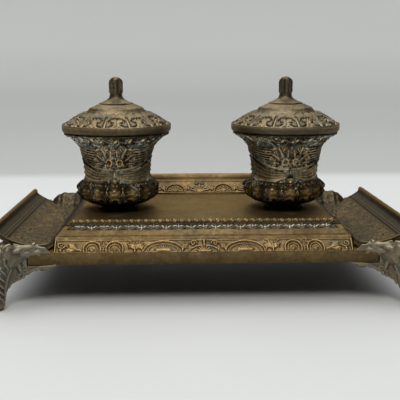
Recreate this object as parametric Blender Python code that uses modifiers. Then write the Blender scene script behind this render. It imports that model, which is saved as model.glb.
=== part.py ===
"""A cast brass desk inkstand with two hinged inkwells, as separate solids in metres, +Z up.

The origin is on the floor under the middle of the tray. The pen channel is at the front, on -Y,
and the raised gallery at the back, on +Y.
"""

import math

import bmesh
import bpy
from mathutils import Matrix, Vector

MM = 0.001
GAP = 0.3 * MM  # between pieces that touch

# Tray
TRAY_HALF_LENGTH = 121.0 * MM
TRAY_HALF_DEPTH = 60.0 * MM
FRAME_HALF_LENGTH = 101.5 * MM  # the moulded frame under the wings
PLATFORM_HALF_LENGTH = 77.0 * MM
HIP_HALF_LENGTH = 86.6 * MM  # where the front moulding ends against the wing
PLATFORM_Z = 46.0 * MM
FASCIA_BOTTOM_Z = 24.3 * MM
TRAY_WALL = 3.0 * MM
WING_WALL = 2.6 * MM
TROUGH_X = 95.5 * MM
TROUGH_Z = 36.0 * MM
TROUGH_RADIUS = 37.0 * MM
RAMP_END_X = 90.0 * MM
WING_RIM_RADIUS = 1.7 * MM
GALLERY_TOP_Z = 58.6 * MM

# Legs
LEG_ROOT = Vector((104.0, 56.0)) * MM
LEG_HEADING = math.radians(35.0)  # outwards, from the long axis towards the front or back
LEG_TOP_Z = 24.0 * MM
LEG_FLANGE = 3.0 * MM
LEG_SCREW = Vector((95.0, 49.0)) * MM
LEG_SCREW_RADIUS = 1.7 * MM
LEG_BOSS_RADIUS = 5.5 * MM

# Wells
WELL_X = 54.0 * MM
BOWL_TOP_Z = 64.6 * MM
COLLAR_TOP_Z = 95.2 * MM
LID_RADIUS = 34.2 * MM
LID_BOTTOM_Z = COLLAR_TOP_Z + GAP
FINIAL_SEAT_Z = 113.0 * MM
TOTAL_HEIGHT = 129.8 * MM
BOLT_RADIUS = 2.3 * MM
HINGE_Y = 36.8 * MM
HINGE_Z = 95.8 * MM
KNUCKLE_RADIUS = 2.5 * MM
KNUCKLE_HALF_WIDTH = 4.0 * MM
LUG_WIDTH = 4.0 * MM
PIN_RADIUS = 1.0 * MM

TURN_STEPS = 28
SMALL_STEPS = 14
SMOOTH_ANGLE = math.radians(35.0)

# Base colour, roughness, metallic
BRASS = ("aged_brass", (0.25, 0.18, 0.09, 1.0), 0.45, 1.0)
DARK_BRASS = ("dark_brass", (0.12, 0.09, 0.055, 1.0), 0.5, 1.0)
STEEL = ("fixing_steel", (0.2, 0.19, 0.18, 1.0), 0.5, 1.0)
PORCELAIN = ("porcelain", (0.8, 0.78, 0.72, 1.0), 0.2, 0.0)


# --- helpers -------------------------------------------------------------------------------------


def clear_scene():
    for old in list(bpy.data.objects):
        bpy.data.objects.remove(old)


def new_collection(name):
    made = bpy.data.collections.new(name)
    bpy.context.scene.collection.children.link(made)
    return made


def material(spec):
    name, colour, roughness, metallic = spec
    if name in bpy.data.materials:
        return bpy.data.materials[name]
    made = bpy.data.materials.new(name)
    made.use_nodes = True
    shader = made.node_tree.nodes["Principled BSDF"]
    shader.inputs["Base Color"].default_value = colour
    shader.inputs["Roughness"].default_value = roughness
    shader.inputs["Metallic"].default_value = metallic
    return made


def evaluated_mesh(obj):
    """A copy of the object's mesh with its modifiers applied, in world space."""
    bpy.context.view_layer.update()
    graph = bpy.context.evaluated_depsgraph_get()
    mesh = bpy.data.meshes.new_from_object(obj.evaluated_get(graph), depsgraph=graph)
    mesh.transform(obj.matrix_world)
    cleaned = bmesh.new()
    cleaned.from_mesh(mesh)
    bmesh.ops.remove_doubles(cleaned, verts=cleaned.verts, dist=0.001 * MM)
    bmesh.ops.recalc_face_normals(cleaned, faces=cleaned.faces)
    cleaned.to_mesh(mesh)
    cleaned.free()
    return mesh


def baked(obj):
    """Turns an object into a plain mesh at the origin, so that it can take or be a Boolean."""
    name = obj.name
    mesh = evaluated_mesh(obj)
    bpy.data.objects.remove(obj)
    made = bpy.data.objects.new(name, mesh)
    bpy.context.scene.collection.objects.link(made)
    return made


def turned(name, profile, centre=(0.0, 0.0), steps=TURN_STEPS):
    """A turned solid about Z. The profile is (radius, z) in mm, down its outer side."""
    closed = profile[0][0] > 0 or profile[-1][0] > 0
    points = [Vector((radius * MM, 0.0, z * MM)) for radius, z in profile]
    edges = [(i, i + 1) for i in range(len(points) - 1)]
    if closed:
        edges.append((len(points) - 1, 0))
    mesh = bpy.data.meshes.new(name)
    mesh.from_pydata(points, edges, [])
    made = bpy.data.objects.new(name, mesh)
    bpy.context.scene.collection.objects.link(made)
    screw = made.modifiers.new("Turn", "SCREW")
    screw.steps = steps
    screw.render_steps = steps
    screw.use_merge_vertices = True
    screw.merge_threshold = 0.01 * MM
    made.location = (centre[0], centre[1], 0.0)
    return baked(made)


def plate(name, outline, thickness, plane, middle=0.0):
    """A flat outline of (a, b) points made solid. plane XZ is spread along Y, and YZ along X."""
    curve = bpy.data.curves.new(name, "CURVE")
    curve.dimensions = "2D"
    curve.fill_mode = "BOTH"
    curve.extrude = thickness / 2
    spline = curve.splines.new("POLY")
    spline.points.add(len(outline) - 1)
    for point, (a, b) in zip(spline.points, outline):
        point.co = (a, b, 0.0, 1.0)
    spline.use_cyclic_u = True
    made = bpy.data.objects.new(name, curve)
    bpy.context.scene.collection.objects.link(made)
    if plane == "XZ":
        made.matrix_world = Matrix(((1, 0, 0, 0), (0, 0, -1, middle), (0, 1, 0, 0), (0, 0, 0, 1)))
    else:
        made.matrix_world = Matrix(((0, 0, 1, middle), (1, 0, 0, 0), (0, 1, 0, 0), (0, 0, 0, 1)))
    return baked(made)


def box(name, low, high):
    low, high = Vector(low), Vector(high)
    bpy.ops.mesh.primitive_cube_add(size=1.0, location=(low + high) / 2)
    made = bpy.context.object
    made.name = name
    made.scale = high - low
    return baked(made)


def cylinder(name, radius, start, end, steps=SMALL_STEPS):
    start, end = Vector(start), Vector(end)
    bpy.ops.mesh.primitive_cylinder_add(vertices=steps, radius=radius, depth=(end - start).length)
    made = bpy.context.object
    made.name = name
    made.rotation_mode = "QUATERNION"
    made.rotation_quaternion = (end - start).to_track_quat("Z", "Y")
    made.location = (start + end) / 2
    return baked(made)


def combine(target, others, operation):
    """Applies a Boolean of each of the others to the target and removes them."""
    for other in others:
        step = target.modifiers.new(operation.title(), "BOOLEAN")
        step.operation = operation
        step.object = other
        mesh = evaluated_mesh(target)
        target.modifiers.clear()
        target.data = mesh
        bpy.data.objects.remove(other)
    return target


def finish(obj, name, spec, origin=(0.0, 0.0, 0.0)):
    """Names the piece, gives it its material and puts its origin on the point given."""
    obj.name = name
    obj.data.name = name
    obj.data.materials.clear()
    obj.data.materials.append(material(spec))
    obj.data.transform(Matrix.Translation(-Vector(origin)))
    obj.location = origin
    obj.data.shade_smooth()
    obj.data.set_sharp_from_angle(angle=SMOOTH_ANGLE)
    for holder in list(obj.users_collection):
        holder.objects.unlink(obj)
    bpy.data.collections["inkstand"].objects.link(obj)
    return obj


# --- tray ----------------------------------------------------------------------------------------


def wing_height(x):
    """Height of the wing's upper face at a distance x from the middle: a ramp into a round trough."""
    arc = TROUGH_Z + TROUGH_RADIUS - math.sqrt(TROUGH_RADIUS**2 - (x - TROUGH_X) ** 2)
    share = (x - PLATFORM_HALF_LENGTH) / (RAMP_END_X - PLATFORM_HALF_LENGTH)
    if share >= 1.0:
        return arc
    ease = 0.5 + 0.5 * math.cos(math.pi * max(share, 0.0))
    return arc + (PLATFORM_Z - 0.1 * MM - arc) * ease


def wing_stations(start, end, count=22):
    return [start + (end - start) * i / (count - 1) for i in range(count)]


def front_moulding():
    """The moulded front from the fascia up to the platform's edge, as (y, z) in mm."""
    channel = [(-47.9, 41.9), (-47.2, 40.4), (-45.6, 39.4), (-43.8, 39.4), (-42.4, 40.4), (-41.7, 43.6)]
    bead = [(-42.0, 44.4), (-41.8, 45.5), (-41.0, 46.3), (-40.0, 46.4)]
    band = [(-60.0, 30.4), (-60.4, 30.8), (-60.0, 31.4), (-54.2, 36.9), (-53.8, 37.6)]
    strips = [(-51.9, 38.9), (-51.5, 38.5), (-51.1, 39.6), (-48.4, 42.0)]
    return band + strips + channel + bead


def back_moulding():
    """The gallery from the platform up to its rim and down its back, as (y, z) in mm."""
    return [(43.0, 46.0), (43.6, 46.9), (53.8, 54.4), (54.6, 56.3), (55.6, 58.0), (57.4, 58.6), (59.2, 58.2), (60.0, 56.8)]


def frame_section():
    """The closed cross-section of the moulded frame, with its hollow underside, as (y, z)."""
    bottom = FASCIA_BOTTOM_Z / MM
    outside = [(-60.0, bottom)] + front_moulding() + [(-39.2, 46.0)] + back_moulding() + [(60.0, bottom)]
    inside = [(57.0, bottom), (57.0, 52.4), (44.0, 43.0), (-38.4, 43.0), (-40.2, 36.6)]
    inside += [(-47.6, 36.4), (-51.4, 35.0), (-57.0, 29.9), (-57.0, bottom)]
    return [(y * MM, z * MM) for y, z in outside + inside]


def wing_section(side):
    """The closed cross-section of one wing, as (x, z)."""
    stations = wing_stations(PLATFORM_HALF_LENGTH - 1.0 * MM, TRAY_HALF_LENGTH)
    upper = [(x, wing_height(x)) for x in stations]
    lower = [(x, z - WING_WALL) for x, z in reversed(upper)]
    return [(side * x, z) for x, z in upper + lower]


def above_wing(side):
    """A cutter's outline: what lies above one wing's upper face, and above the frame's sloping end."""
    stations = wing_stations(PLATFORM_HALF_LENGTH + 1.0 * MM, 94.0 * MM, 14)
    line = [(x, wing_height(x) - 0.05 * MM) for x in stations]
    line += [(95.5 * MM, 34.9 * MM), (102.5 * MM, 30.6 * MM)]
    top = GALLERY_TOP_Z + 5.0 * MM
    return [(side * x, z) for x, z in line + [(line[-1][0], top), (stations[0], top)]]


def skirt_section(side):
    """The frame's end wall: it leans in at the top and meets the wing's underside, as (x, z)."""
    bottom = FASCIA_BOTTOM_Z / MM + 0.05
    outside = [(101.4, bottom), (101.4, 31.1), (95.6, 34.7), (91.0, 35.4)]
    inside = [(91.0, 33.9), (95.0, 33.2), (98.4, 31.1), (98.4, bottom)]
    return [(side * x * MM, z * MM) for x, z in outside + inside]


def above_front():
    """A cutter's outline: all that lies above the front moulding, without the pen channel."""
    line = [(-61.0, 30.0), (-60.2, 31.1), (-54.2, 36.8), (-47.9, 41.7), (-41.7, 43.6), (-39.2, 45.8)]
    return [(y * MM, z * MM) for y, z in line + [(-39.2, 60.0), (-61.0, 60.0)]]


def gallery_outline(side):
    """Half of the back plate, as (x, z): an ogee from the rim down to a low cresting on the wing."""
    ogee = [(60.0, 57.6), (75.0, 57.6), (78.0, 56.6), (81.0, 53.4), (83.4, 49.0), (87.0, 45.2), (91.0, 43.6)]
    crest = [(95.0, 43.6), (99.0, 44.0), (103.0, 42.2), (107.0, 39.2), (107.0, 36.8), (100.0, 35.2), (60.0, 34.0)]
    return [(side * x * MM, z * MM) for x, z in ogee + crest]


def make_tray():
    tray = plate("tray", frame_section(), 2 * FRAME_HALF_LENGTH, "YZ")
    wings, cutters, joined = [], [], []
    for side in (-1, 1):
        wings.append(plate("wing", wing_section(side), 2 * TRAY_HALF_DEPTH - 0.4 * MM, "XZ"))
        cutters.append(plate("above_wing", above_wing(side), 3 * TRAY_HALF_DEPTH, "XZ"))
        joined.append(plate("skirt", skirt_section(side), 117.0 * MM, "XZ"))
        plate_y = TRAY_HALF_DEPTH - TRAY_WALL / 2
        joined.append(plate("crest", gallery_outline(side), TRAY_WALL - 0.5 * MM, "XZ", plate_y))
        rim_x = side * (TRAY_HALF_LENGTH - 0.6 * MM)
        rim_z = wing_height(TRAY_HALF_LENGTH) - 0.3 * MM
        rim_half = TRAY_HALF_DEPTH
        joined.append(cylinder("rim", WING_RIM_RADIUS, (rim_x, -rim_half, rim_z), (rim_x, rim_half, rim_z), 12))
        for end in (-1, 1):
            x, y = side * LEG_SCREW.x, end * LEG_SCREW.y
            joined.append(cylinder("boss", LEG_BOSS_RADIUS, (x, y, FASCIA_BOTTOM_Z + 0.05 * MM), (x, y, 35.0 * MM)))
    combine(tray, cutters, "DIFFERENCE")
    fronts = [plate("above_front", above_front(), 2 * HIP_HALF_LENGTH, "YZ") for _ in wings]
    for wing, front in zip(wings, fronts):
        combine(wing, [front], "DIFFERENCE")
    combine(tray, wings + joined, "UNION")
    holes = []
    for side in (-1, 1):
        x = side * WELL_X
        holes.append(cylinder("bolt_hole", BOLT_RADIUS + GAP, (x, 0, 40 * MM), (x, 0, 50 * MM)))
        for end in (-1, 1):
            at = (side * LEG_SCREW.x, end * LEG_SCREW.y)
            hole = LEG_SCREW_RADIUS + GAP
            holes.append(cylinder("screw_hole", hole, (*at, 20 * MM), (*at, 32.5 * MM)))
    combine(tray, holes, "DIFFERENCE")
    return finish(tray, "tray", BRASS)


# --- legs ----------------------------------------------------------------------------------------


def leg_point(side, end, along, z):
    """A point in the leg's own upright plane: along is outwards from the root."""
    x = LEG_ROOT.x + along * math.cos(LEG_HEADING)
    y = LEG_ROOT.y + along * math.sin(LEG_HEADING)
    return Vector((side * x, end * y, z))


def make_leg(side, end, name):
    """A cabriole leg: shoulder, knee, ankle and toe, with brackets and a flange for its screw."""
    heading = math.atan2(end * math.sin(LEG_HEADING), side * math.cos(LEG_HEADING))
    # (outwards, height, radius) in mm, from the shoulder to the ankle
    path = [(-1.0, 29.0, 4.5), (3.6, 30.8, 6.3), (8.2, 29.8, 7.0), (11.8, 26.0, 6.2), (13.6, 20.6, 4.9)]
    path += [(14.5, 14.8, 3.8), (15.0, 9.0, 3.2), (15.7, 3.8, 3.2)]
    curve = bpy.data.curves.new(name, "CURVE")
    curve.dimensions = "3D"
    curve.bevel_depth = 1.0 * MM
    curve.bevel_resolution = 3
    curve.use_fill_caps = True
    spline = curve.splines.new("POLY")
    spline.points.add(len(path) - 1)
    for point, (along, z, radius) in zip(spline.points, path):
        point.co = (*leg_point(side, end, along * MM, z * MM), 1.0)
        point.radius = radius
    leg = bpy.data.objects.new(name, curve)
    bpy.context.scene.collection.objects.link(leg)
    leg = baked(leg)
    bpy.ops.mesh.primitive_uv_sphere_add(segments=20, ring_count=10, radius=1.0)
    toe = bpy.context.object
    toe.scale = (6.2 * MM, 4.8 * MM, 4.0 * MM)
    toe.rotation_euler.z = heading
    toe.location = leg_point(side, end, 18.4 * MM, 2.6 * MM)
    combine(leg, [baked(toe)], "UNION")

    # The leg stands clear of the frame's corner, and reaches its screw under the fascia.
    corner = box(
        "corner",
        (min(side * 80.0, side * 101.9) * MM, min(end * 40.0, end * 60.8) * MM, LEG_TOP_Z),
        (max(side * 80.0, side * 101.9) * MM, max(end * 40.0, end * 60.8) * MM, 50.0 * MM),
    )
    wing_clear = [(x, wing_height(x) - WING_WALL - GAP) for x in wing_stations(96 * MM, TRAY_HALF_LENGTH, 12)]
    wing_clear += [(140 * MM, wing_clear[-1][1]), (140 * MM, 60 * MM), (96 * MM, 60 * MM)]
    wing_cut = plate("wing_cut", [(side * x, z) for x, z in wing_clear], 300 * MM, "XZ")
    floor = box("floor", (-0.2, -0.2, -0.05), (0.2, 0.2, 0.0))
    combine(leg, [corner, wing_cut], "DIFFERENCE")

    def arm(outline, plane, middle):
        return plate("arm", [(a * MM, b * MM) for a, b in outline], 3.0 * MM, plane, middle * MM)

    top = LEG_TOP_Z / MM
    front_arm = [(85.0, top), (92.0, 23.2), (98.0, 21.8), (103.0, 19.2), (107.0, 16.0), (109.0, 14.8), (110.0, top)]
    side_arm = [(42.0, top), (48.0, 23.2), (53.0, 21.8), (57.0, 19.8), (59.4, 18.0), (60.6, 18.4), (60.6, top)]
    arms = [arm([(side * x, z) for x, z in front_arm], "XZ", end * 58.4)]
    arms.append(arm([(end * y, z) for y, z in side_arm], "YZ", side * 103.4))

    # A web in the leg's own plane runs from the flange down the back of the knee.
    web_line = [(-13.0, top - 0.1), (-4.0, 22.2), (2.0, 19.8), (7.0, 16.8), (10.8, 13.2), (13.0, 8.6)]
    web_line += [(15.4, 8.6), (13.6, top - 0.1)]
    web = plate("web", [(a * MM, b * MM) for a, b in web_line], 5.0 * MM, "XZ")
    web.data.transform(Matrix.Rotation(heading, 4, "Z"))
    web.data.transform(Matrix.Translation(leg_point(side, end, 0.0, 0.0)))
    flange = box(
        "flange",
        (min(side * 90.0, side * 104.0) * MM, min(end * 44.0, end * 58.0) * MM, LEG_TOP_Z - LEG_FLANGE),
        (max(side * 90.0, side * 104.0) * MM, max(end * 44.0, end * 58.0) * MM, LEG_TOP_Z - 0.1 * MM),
    )
    combine(leg, arms + [web, flange], "UNION")
    at = (side * LEG_SCREW.x, end * LEG_SCREW.y)
    hole = cylinder("hole", LEG_SCREW_RADIUS + GAP, (*at, 10 * MM), (*at, 30 * MM))
    combine(leg, [hole, floor], "DIFFERENCE")
    return finish(leg, name, BRASS)


def make_leg_screw(side, end, name):
    x, y = side * LEG_SCREW.x, end * LEG_SCREW.y
    head = (LEG_TOP_Z - LEG_FLANGE - GAP) / MM
    shank = LEG_SCREW_RADIUS / MM
    profile = [(0.0, 31.5), (shank - 0.5, 31.5), (shank, 31.0), (shank, head), (3.4, head), (3.3, head - 1.2)]
    profile += [(2.4, head - 2.2), (0.0, head - 2.5)]
    screw = turned(name, profile, (x, y), SMALL_STEPS)
    low = (head - 3.0) * MM
    slot = box("slot", (x - 5 * MM, y - 0.4 * MM, low), (x + 5 * MM, y + 0.4 * MM, low + 1.5 * MM))
    combine(screw, [slot], "DIFFERENCE")
    return finish(screw, name, STEEL)


# --- wells ---------------------------------------------------------------------------------------


def make_bowl(x, name):
    """The gadrooned lower cup on its foot, open at the top under the body."""
    outer = [(22.2, 64.6), (24.2, 63.9), (26.6, 62.4), (27.4, 60.5), (27.0, 58.2), (24.8, 55.2), (20.0, 52.2)]
    outer += [(14.6, 50.0), (11.6, 49.0), (11.6, 48.2), (12.8, 47.6), (12.8, 46.3)]
    inner = [(2.6, 46.3), (2.6, 51.4), (13.0, 52.6), (19.4, 55.4), (22.6, 58.6), (22.2, 61.2), (19.6, 62.4), (19.6, 64.6)]
    return finish(turned(name, outer + inner, (x, 0.0)), name, DARK_BRASS, (x, 0.0, PLATFORM_Z))


def make_body(x, name):
    """The waisted cup with its flared collar and the two fixed hinge lugs."""
    top = COLLAR_TOP_Z / MM
    collar = [(33.4, top), (33.4, 94.2), (32.4, 93.6), (29.4, 91.6), (26.8, 89.4), (25.0, 87.0), (24.2, 86.4)]
    cup = [(23.8, 86.0), (23.2, 81.0), (22.5, 76.0), (21.9, 70.0), (21.7, 66.4), (22.0, 64.9)]
    inside = [(2.6, 64.9), (2.6, 67.1), (19.4, 67.1), (19.4, 88.2), (22.4, 88.2), (23.4, 89.0), (30.6, 94.4), (31.0, top)]
    body = turned(name, collar + cup + inside, (x, 0.0))
    lugs, holes = [], []
    start = KNUCKLE_HALF_WIDTH + GAP
    for side in (-1, 1):
        a, b = sorted((x + side * start, x + side * (start + LUG_WIDTH)))
        lugs.append(box("arm", (a, 29.6 * MM, 93.4 * MM), (b, HINGE_Y, COLLAR_TOP_Z - 0.1 * MM)))
        lugs.append(cylinder("lug", KNUCKLE_RADIUS, (a, HINGE_Y, HINGE_Z), (b, HINGE_Y, HINGE_Z)))
    holes.append(pin_hole(x))
    holes.append(turned("dish", [(0.0, 99.0), (31.0, 99.0), (31.0, top - 0.1), (30.6, 94.4), (26.0, 91.0), (0.0, 91.0)], (x, 0.0)))
    combine(body, lugs, "UNION")
    combine(body, holes, "DIFFERENCE")
    return finish(body, name, DARK_BRASS, (x, 0.0, PLATFORM_Z))


def pin_hole(x):
    reach = 12.0 * MM
    return cylinder("pin_hole", PIN_RADIUS + GAP, (x - reach, HINGE_Y, HINGE_Z), (x + reach, HINGE_Y, HINGE_Z), 16)


def make_pin(x, name):
    half = KNUCKLE_HALF_WIDTH + GAP + LUG_WIDTH + 0.5 * MM
    pin = cylinder(name, PIN_RADIUS, (x - half, HINGE_Y, HINGE_Z), (x + half, HINGE_Y, HINGE_Z), 16)
    return finish(pin, name, STEEL, (x, HINGE_Y, HINGE_Z))


def make_lid(x, name):
    """The domed lid with the hinge's middle knuckle. Its origin is on the hinge's axis."""
    bottom = LID_BOTTOM_Z / MM
    dome = [(1.9, 112.7), (10.3, 112.7), (12.2, 112.0), (16.4, 110.1), (20.6, 108.2), (24.6, 106.1), (28.2, 104.1)]
    dome += [(31.0, 102.4), (33.0, 101.2), (33.9, 100.8), (34.2, 100.1), (34.2, 96.3), (33.6, bottom)]
    inside = [(30.9, bottom), (30.9, 98.4), (29.4, 100.6), (25.6, 103.3), (22.0, 105.3), (17.6, 107.3), (13.0, 108.5), (1.9, 108.6)]
    lid = turned(name, dome + inside, (x, 0.0))
    half = KNUCKLE_HALF_WIDTH
    web = box("web", (x - half, 32.4 * MM, 96.0 * MM), (x + half, HINGE_Y, 98.2 * MM))
    knuckle = cylinder("knuckle", KNUCKLE_RADIUS, (x - half, HINGE_Y, HINGE_Z), (x + half, HINGE_Y, HINGE_Z))
    combine(lid, [web, knuckle], "UNION")
    combine(lid, [pin_hole(x)], "DIFFERENCE")
    return finish(lid, name, BRASS, (x, HINGE_Y, HINGE_Z))


def make_finial(x, name):
    """The turned peg that the lid is lifted by. Its shank goes through the lid's crown."""
    seat, top = FINIAL_SEAT_Z / MM, TOTAL_HEIGHT / MM
    profile = [(0.0, top), (1.8, top - 0.3), (3.0, top - 1.1), (3.7, top - 2.4), (3.9, top - 5.0), (3.8, 118.4)]
    profile += [(4.3, 116.8), (5.8, 115.3), (8.2, 114.1), (9.8, 113.4), (9.8, seat), (1.5, seat), (1.5, 104.6), (0.0, 104.6)]
    return finish(turned(name, profile, (x, 0.0), 20), name, DARK_BRASS, (x, 0.0, seat * MM))


def hex_nut(name, centre, across, low, high, bore):
    bpy.ops.mesh.primitive_cylinder_add(
        vertices=6, radius=across / math.sqrt(3), depth=high - low, location=(*centre, (low + high) / 2)
    )
    nut = bpy.context.object
    nut.name = name
    nut = baked(nut)
    hole = cylinder("bore", bore, (*centre, low - 1 * MM), (*centre, high + 1 * MM))
    return combine(nut, [hole], "DIFFERENCE")


def make_liner(x, name):
    """The porcelain ink pot: a flange on the body's ledge, a dished mouth, a neck and a round pot."""
    outer = [(12.6, 93.4), (14.2, 93.6), (15.4, 92.8), (16.2, 91.2), (21.6, 90.9), (22.0, 90.2), (22.0, 88.8), (21.6, 88.5)]
    outer += [(19.0, 88.5), (18.9, 72.4), (17.4, 70.4), (15.8, 69.9)]
    inner = [(0.0, 72.6), (13.6, 72.8), (16.0, 75.0), (16.2, 82.0), (14.6, 85.4), (10.6, 87.8), (9.6, 89.6), (10.4, 91.8)]
    profile = [inner[i] for i in range(len(inner) - 1, -1, -1)]
    return finish(turned(name, [(0.0, 69.9)] + outer[::-1] + profile, (x, 0.0)), name, PORCELAIN, (x, 0.0, 88.5 * MM))


def make_bolt(x, name):
    """The slotted bolt that clamps body and bowl to the tray."""
    radius = BOLT_RADIUS / MM
    profile = [(0.0, 69.6), (3.4, 69.5), (4.3, 68.8), (4.3, 67.4), (radius, 67.4), (radius, 36.6), (radius - 0.5, 36.0), (0.0, 36.0)]
    bolt = turned(name, profile, (x, 0.0), SMALL_STEPS)
    slot = box("slot", (x - 6 * MM, -0.5 * MM, 68.6 * MM), (x + 6 * MM, 0.5 * MM, 70.5 * MM))
    combine(bolt, [slot], "DIFFERENCE")
    return finish(bolt, name, STEEL, (x, 0.0, PLATFORM_Z))


def make_washer(x, name):
    bore = BOLT_RADIUS / MM + 0.3
    return finish(turned(name, [(6.5, 42.7), (6.5, 41.6), (bore, 41.6), (bore, 42.7)], (x, 0.0), 24), name, STEEL)


def make_well(side, prefix):
    x = side * WELL_X
    make_bowl(x, prefix + "_bowl")
    make_body(x, prefix + "_body")
    make_liner(x, prefix + "_ink_pot")
    make_lid(x, prefix + "_lid")
    make_finial(x, prefix + "_finial")
    make_pin(x, prefix + "_hinge_pin")
    make_bolt(x, prefix + "_bolt")
    make_washer(x, prefix + "_washer")
    nut = hex_nut("nut", (x, 0.0), 8.0 * MM, 37.9 * MM, 41.3 * MM, BOLT_RADIUS + GAP)
    finish(nut, prefix + "_bolt_nut", STEEL)
    nut = hex_nut("nut", (x, 0.0), 5.5 * MM, 105.8 * MM, 108.3 * MM, 1.5 * MM + GAP)
    finish(nut, prefix + "_finial_nut", STEEL)


def main():
    clear_scene()
    new_collection("inkstand")
    make_tray()
    for end, end_name in ((-1, "front"), (1, "rear")):
        for side, side_name in ((-1, "left"), (1, "right")):
            make_leg(side, end, f"{end_name}_{side_name}_leg")
            make_leg_screw(side, end, f"{end_name}_{side_name}_leg_screw")
    make_well(-1, "left")
    make_well(1, "right")


main()
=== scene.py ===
"""Looks of the cast brass inkstand: relief, patina, floor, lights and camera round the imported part.

Lengths in the helpers are in mm; meshes are made in metres. +Z is up and the front is on -Y.
"""

import math

import bmesh
import bpy
import numpy as np
from mathutils import Matrix, Vector


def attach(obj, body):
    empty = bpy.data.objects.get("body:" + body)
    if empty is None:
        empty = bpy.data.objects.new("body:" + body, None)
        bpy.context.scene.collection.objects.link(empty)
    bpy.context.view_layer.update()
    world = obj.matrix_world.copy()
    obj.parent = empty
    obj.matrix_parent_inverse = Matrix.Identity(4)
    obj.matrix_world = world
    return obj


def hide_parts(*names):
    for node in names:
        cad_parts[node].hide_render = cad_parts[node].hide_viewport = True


MM = 0.001
TAU = 2 * math.pi
SIDES = {"left": -1, "right": 1}

# Tray, as in the CAD
PLATFORM_X = 77.0
HIP_X = 86.6
PLATFORM_Z = 46.0
TROUGH_X = 95.5
TROUGH_Z = 36.0
TROUGH_RADIUS = 37.0
RAMP_END_X = 90.0
TRAY_X = 121.0
STRIP_END = 87.0  # half the length of the strips and the channel

# Wells, as in the CAD
WELL_X = 54.0
HINGE_Y = 36.8
HINGE_Z = 95.8

# Wear, and how far the colour is darkened, inside a turned piece, where its own relief does not reach
INSIDE_WEAR = 0.42
INSIDE_DARKENING = 0.3

# Light from the room, low near the horizon and high overhead
SKY_LOW = 0.028
SKY_HIGH = 3.05
SKY_SQUEEZE = (2.1, 1.0, 1.0)  # narrows the bright part of the sky from side to side
SKY_TOP = (-0.03, 0.3, 0.953)  # the direction of its middle
LAMP_SIZE = 0.4

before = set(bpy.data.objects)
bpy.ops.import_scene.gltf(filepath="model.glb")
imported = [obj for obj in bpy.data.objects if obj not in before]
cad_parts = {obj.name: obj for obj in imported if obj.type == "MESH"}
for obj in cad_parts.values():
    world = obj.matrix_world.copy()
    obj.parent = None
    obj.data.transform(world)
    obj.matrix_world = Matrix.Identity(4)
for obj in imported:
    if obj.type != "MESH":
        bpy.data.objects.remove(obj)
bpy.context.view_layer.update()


# --- relief --------------------------------------------------------------------------------------


def lerp_along(value, count):
    """A number, or a few numbers spread evenly, as one number per point of a line."""
    value = np.atleast_1d(np.asarray(value, float))
    return np.interp(np.linspace(0, 1, count), np.linspace(0, 1, len(value)), value)


def bezier(p0, p1, p2, p3, count=20):
    """Points on a cubic curve from p0 to p3."""
    t = np.linspace(0, 1, count)[:, None]
    p0, p1, p2, p3 = (np.asarray(p, float) for p in (p0, p1, p2, p3))
    return (1 - t) ** 3 * p0 + 3 * (1 - t) ** 2 * t * p1 + 3 * (1 - t) * t**2 * p2 + t**3 * p3


def arc(centre, rx, ry, start, end, count=24):
    """Points on an ellipse, from one angle to another in degrees."""
    a = np.radians(np.linspace(start, end, count))
    return np.stack([centre[0] + rx * np.cos(a), centre[1] + ry * np.sin(a)], 1)


def spiral(centre, radius, turns, start, hand=1, count=44):
    """A volute's line, from its outer end at the angle start, in degrees, in to its eye."""
    t = np.linspace(0, 1, count)
    a = math.radians(start) + hand * TAU * turns * t
    r = radius * (1 - 0.86 * t**0.8)
    return np.stack([centre[0] + r * np.cos(a), centre[1] + r * np.sin(a)], 1)


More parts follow.
